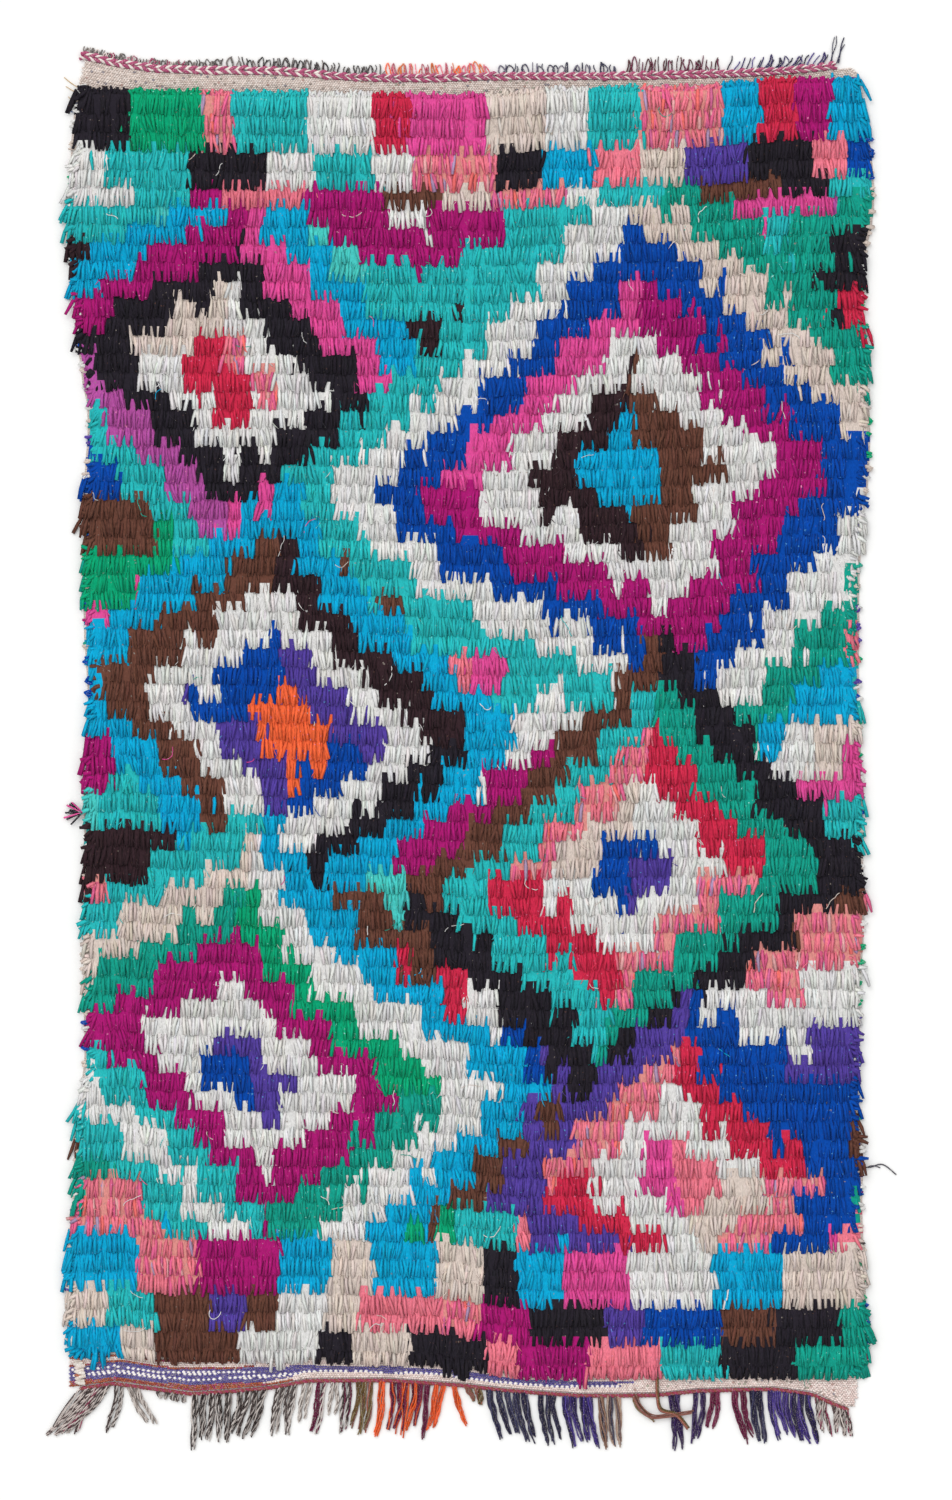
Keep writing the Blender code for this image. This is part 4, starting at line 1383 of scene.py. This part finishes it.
def fringe_locks(dice):
    """Root and tip of each lock of yarn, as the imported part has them: X and Y of both, the bow,
    half the lock's width, and its wool."""
    away = CORD_SEAT + LOWER_CORD_RADIUS
    last_tip = -RUG_WIDTH
    for start, stop, locks, run_length, lean, bow, wool in LOWER_FRINGE:
        pitch = (stop - start) / locks
        radius = min(FRINGE_RADIUS, RADIUS_OF_PITCH * pitch)
        for number in range(locks):
            drift, stretch = dice.uniform(-ROOT_DRIFT, ROOT_DRIFT), dice.uniform(-1, 1)
            x = start + CORNER_X + (number + 0.5 + drift) * pitch
            y = beside_end(LOWER_END, -1, x, away)
            length = max(run_length * (1 + LENGTH_SPREAD * stretch), LOWER_CORD_RADIUS + 2 * radius)
            tip = max(x + lean, last_tip + TIP_SPACING * radius + TIP_CLEARANCE)
            last_tip = tip
            yield (x, y), (tip, y - length), bow, radius, wool


def make_lower_cord():
    dice = random.Random(FRINGE_SEED + "_yarns")
    yarns = Yarns()
    away = CORD_SEAT + LOWER_CORD_RADIUS
    xs = np.arange(LOWER_CORD_SPAN[0] + CORNER_X, LOWER_CORD_SPAN[1] + CORNER_X, 0.012)
    spots = [(x, beside_end(LOWER_END, -1, x, away), LOWER_TWINE_Z) for x in xs]
    for begin, code in ((0.0, "A0405C"), (0.5, "8C4A44")):
        yarns.line(spots, dyed(code, dice), LOWER_STRAND, LOWER_TWINE_WIND, 1 / LOWER_TWINE_PITCH, begin)
    for root, tip, bow, radius, wool in fringe_locks(random.Random(FRINGE_SEED)):
        count = max(3, round(2 * radius / YARN_SPACING))
        turn = dice.choice((-1, 1)) * dice.uniform(*LOCK_TURN)
        sway, phase = dice.uniform(*LOCK_SWAY), dice.uniform(0, 2 * math.pi)
        for number in range(count):
            start = 2 * math.pi * (number + dice.uniform(-0.25, 0.25)) / count
            beside = (radius - YARN_RADIUS) * dice.uniform(0.6, 1.0)
            reach = dice.uniform(*YARN_REACH)
            spots = []
            for place in np.linspace(0, 1, YARN_POINTS):
                angle = start + turn * place
                loose = min(1.0, 3 * place)
                gathered = beside * (1.0 + 0.15 * math.sin(math.pi * place) - 0.45 * place**3)
                x = root[0] + (tip[0] - root[0]) * place * reach + bow * math.sin(math.pi * place)
                x += gathered * math.cos(angle) + loose * sway * math.sin(4.5 * place + phase)
                x += loose * dice.uniform(-YARN_CURL, YARN_CURL)
                y = root[1] + (tip[1] - root[1]) * place * reach
                spots.append((x, y, YARN_Z + 0.45 * gathered * (1 + math.sin(angle))))
            colours = dice.choice(WOOLS[wool].split()).split("-")
            thin = YARN_RADIUS * np.linspace(1.0, 0.75, len(spots))
            marled = wool.endswith("_marl")
            if marled and number % 2:
                start, pitch = dice.random(), PLY_PITCH * dice.uniform(0.8, 1.5)
                for begin, code in zip((start, start + 0.5), colours):
                    yarns.line(spots, dyed(code, dice), PLY_RADIUS, PLY_WIND, 1 / pitch, begin)
            elif marled:
                yarns.line(spots, dyed(colours[number // 2 % 2], dice, 0.15), thin * MARLED_SINGLE)
            else:
                yarns.line(spots, dyed(dice.choice(colours), dice, 0.15), thin)
    for wool, height, count, spread, way in LOOSE_WARPS:
        for _ in range(count):
            off = dice.uniform(-spread, spread)
            spots = [(x + off, y + off + dice.uniform(-0.001, 0.001), height) for x, y in way]
            code = dice.choice(dice.choice(WOOLS[wool].split()).split("-"))
            yarns.line(spots, dyed(code, dice, 0.15), YARN_RADIUS * 0.8)
    piece = yarns.spin("lower_cord", spun_wool("hand_spun_warp_wool", 0.80, "B8AEA8"), 0.0034, 4)
    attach(piece, "root")
    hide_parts("lower_warp_fringe")
    return piece


pieces_on_weave.append(make_lower_cord())


# Studio
# A pale floor under the rug, soft light from all sides with a little more from the upper left,
# and a camera straight above with a long lens, framed as the photograph is.

PHOTO_SIZE = (952, 1500)
METRES_A_PIXEL = 0.00175
CAMERA_HEIGHT = 8.0
VIEW_CENTRE = (0.0237, -0.0109)
SENSOR = 36.0

floor_mesh = bpy.data.meshes.new("studio_floor")
floor_mesh.from_pydata([(-40, -40, 0), (40, -40, 0), (40, 40, 0), (-40, 40, 0)], [], [(0, 1, 2, 3)])
floor_paint, _, floor_shader = new_material("pale_floor_paint")
floor_shader.inputs["Base Color"].default_value = linear("F6F6F5")
floor = new_object("studio_floor", floor_mesh, floor_paint)
floor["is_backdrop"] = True

world = bpy.data.worlds.new("soft_studio")
world.use_nodes = True
world.node_tree.nodes["Background"].inputs["Color"].default_value = (1.0, 1.0, 1.0, 1.0)
world.node_tree.nodes["Background"].inputs["Strength"].default_value = 0.86
bpy.context.scene.world = world

lamp_data = bpy.data.lights.new("softbox", "SUN")
lamp_data.energy = 1.1
lamp_data.angle = math.radians(45)
lamp = bpy.data.objects.new("softbox", lamp_data)
lamp.rotation_euler = (math.radians(-32), math.radians(-22), 0.0)
bpy.context.scene.collection.objects.link(lamp)

camera_data = bpy.data.cameras.new("camera")
camera_data.sensor_width = SENSOR
camera_data.lens = SENSOR * CAMERA_HEIGHT / (max(PHOTO_SIZE) * METRES_A_PIXEL)
camera_data.clip_end = 100.0
camera = bpy.data.objects.new("camera", camera_data)
camera.location = (*VIEW_CENTRE, CAMERA_HEIGHT)
bpy.context.scene.collection.objects.link(camera)
bpy.context.scene.camera = camera
bpy.context.scene.view_settings.view_transform = "Standard"

boxes = {"cad": cad_box, "visual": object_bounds()}
{key: [list(corner) for corner in box] for key, box in boxes.items()}
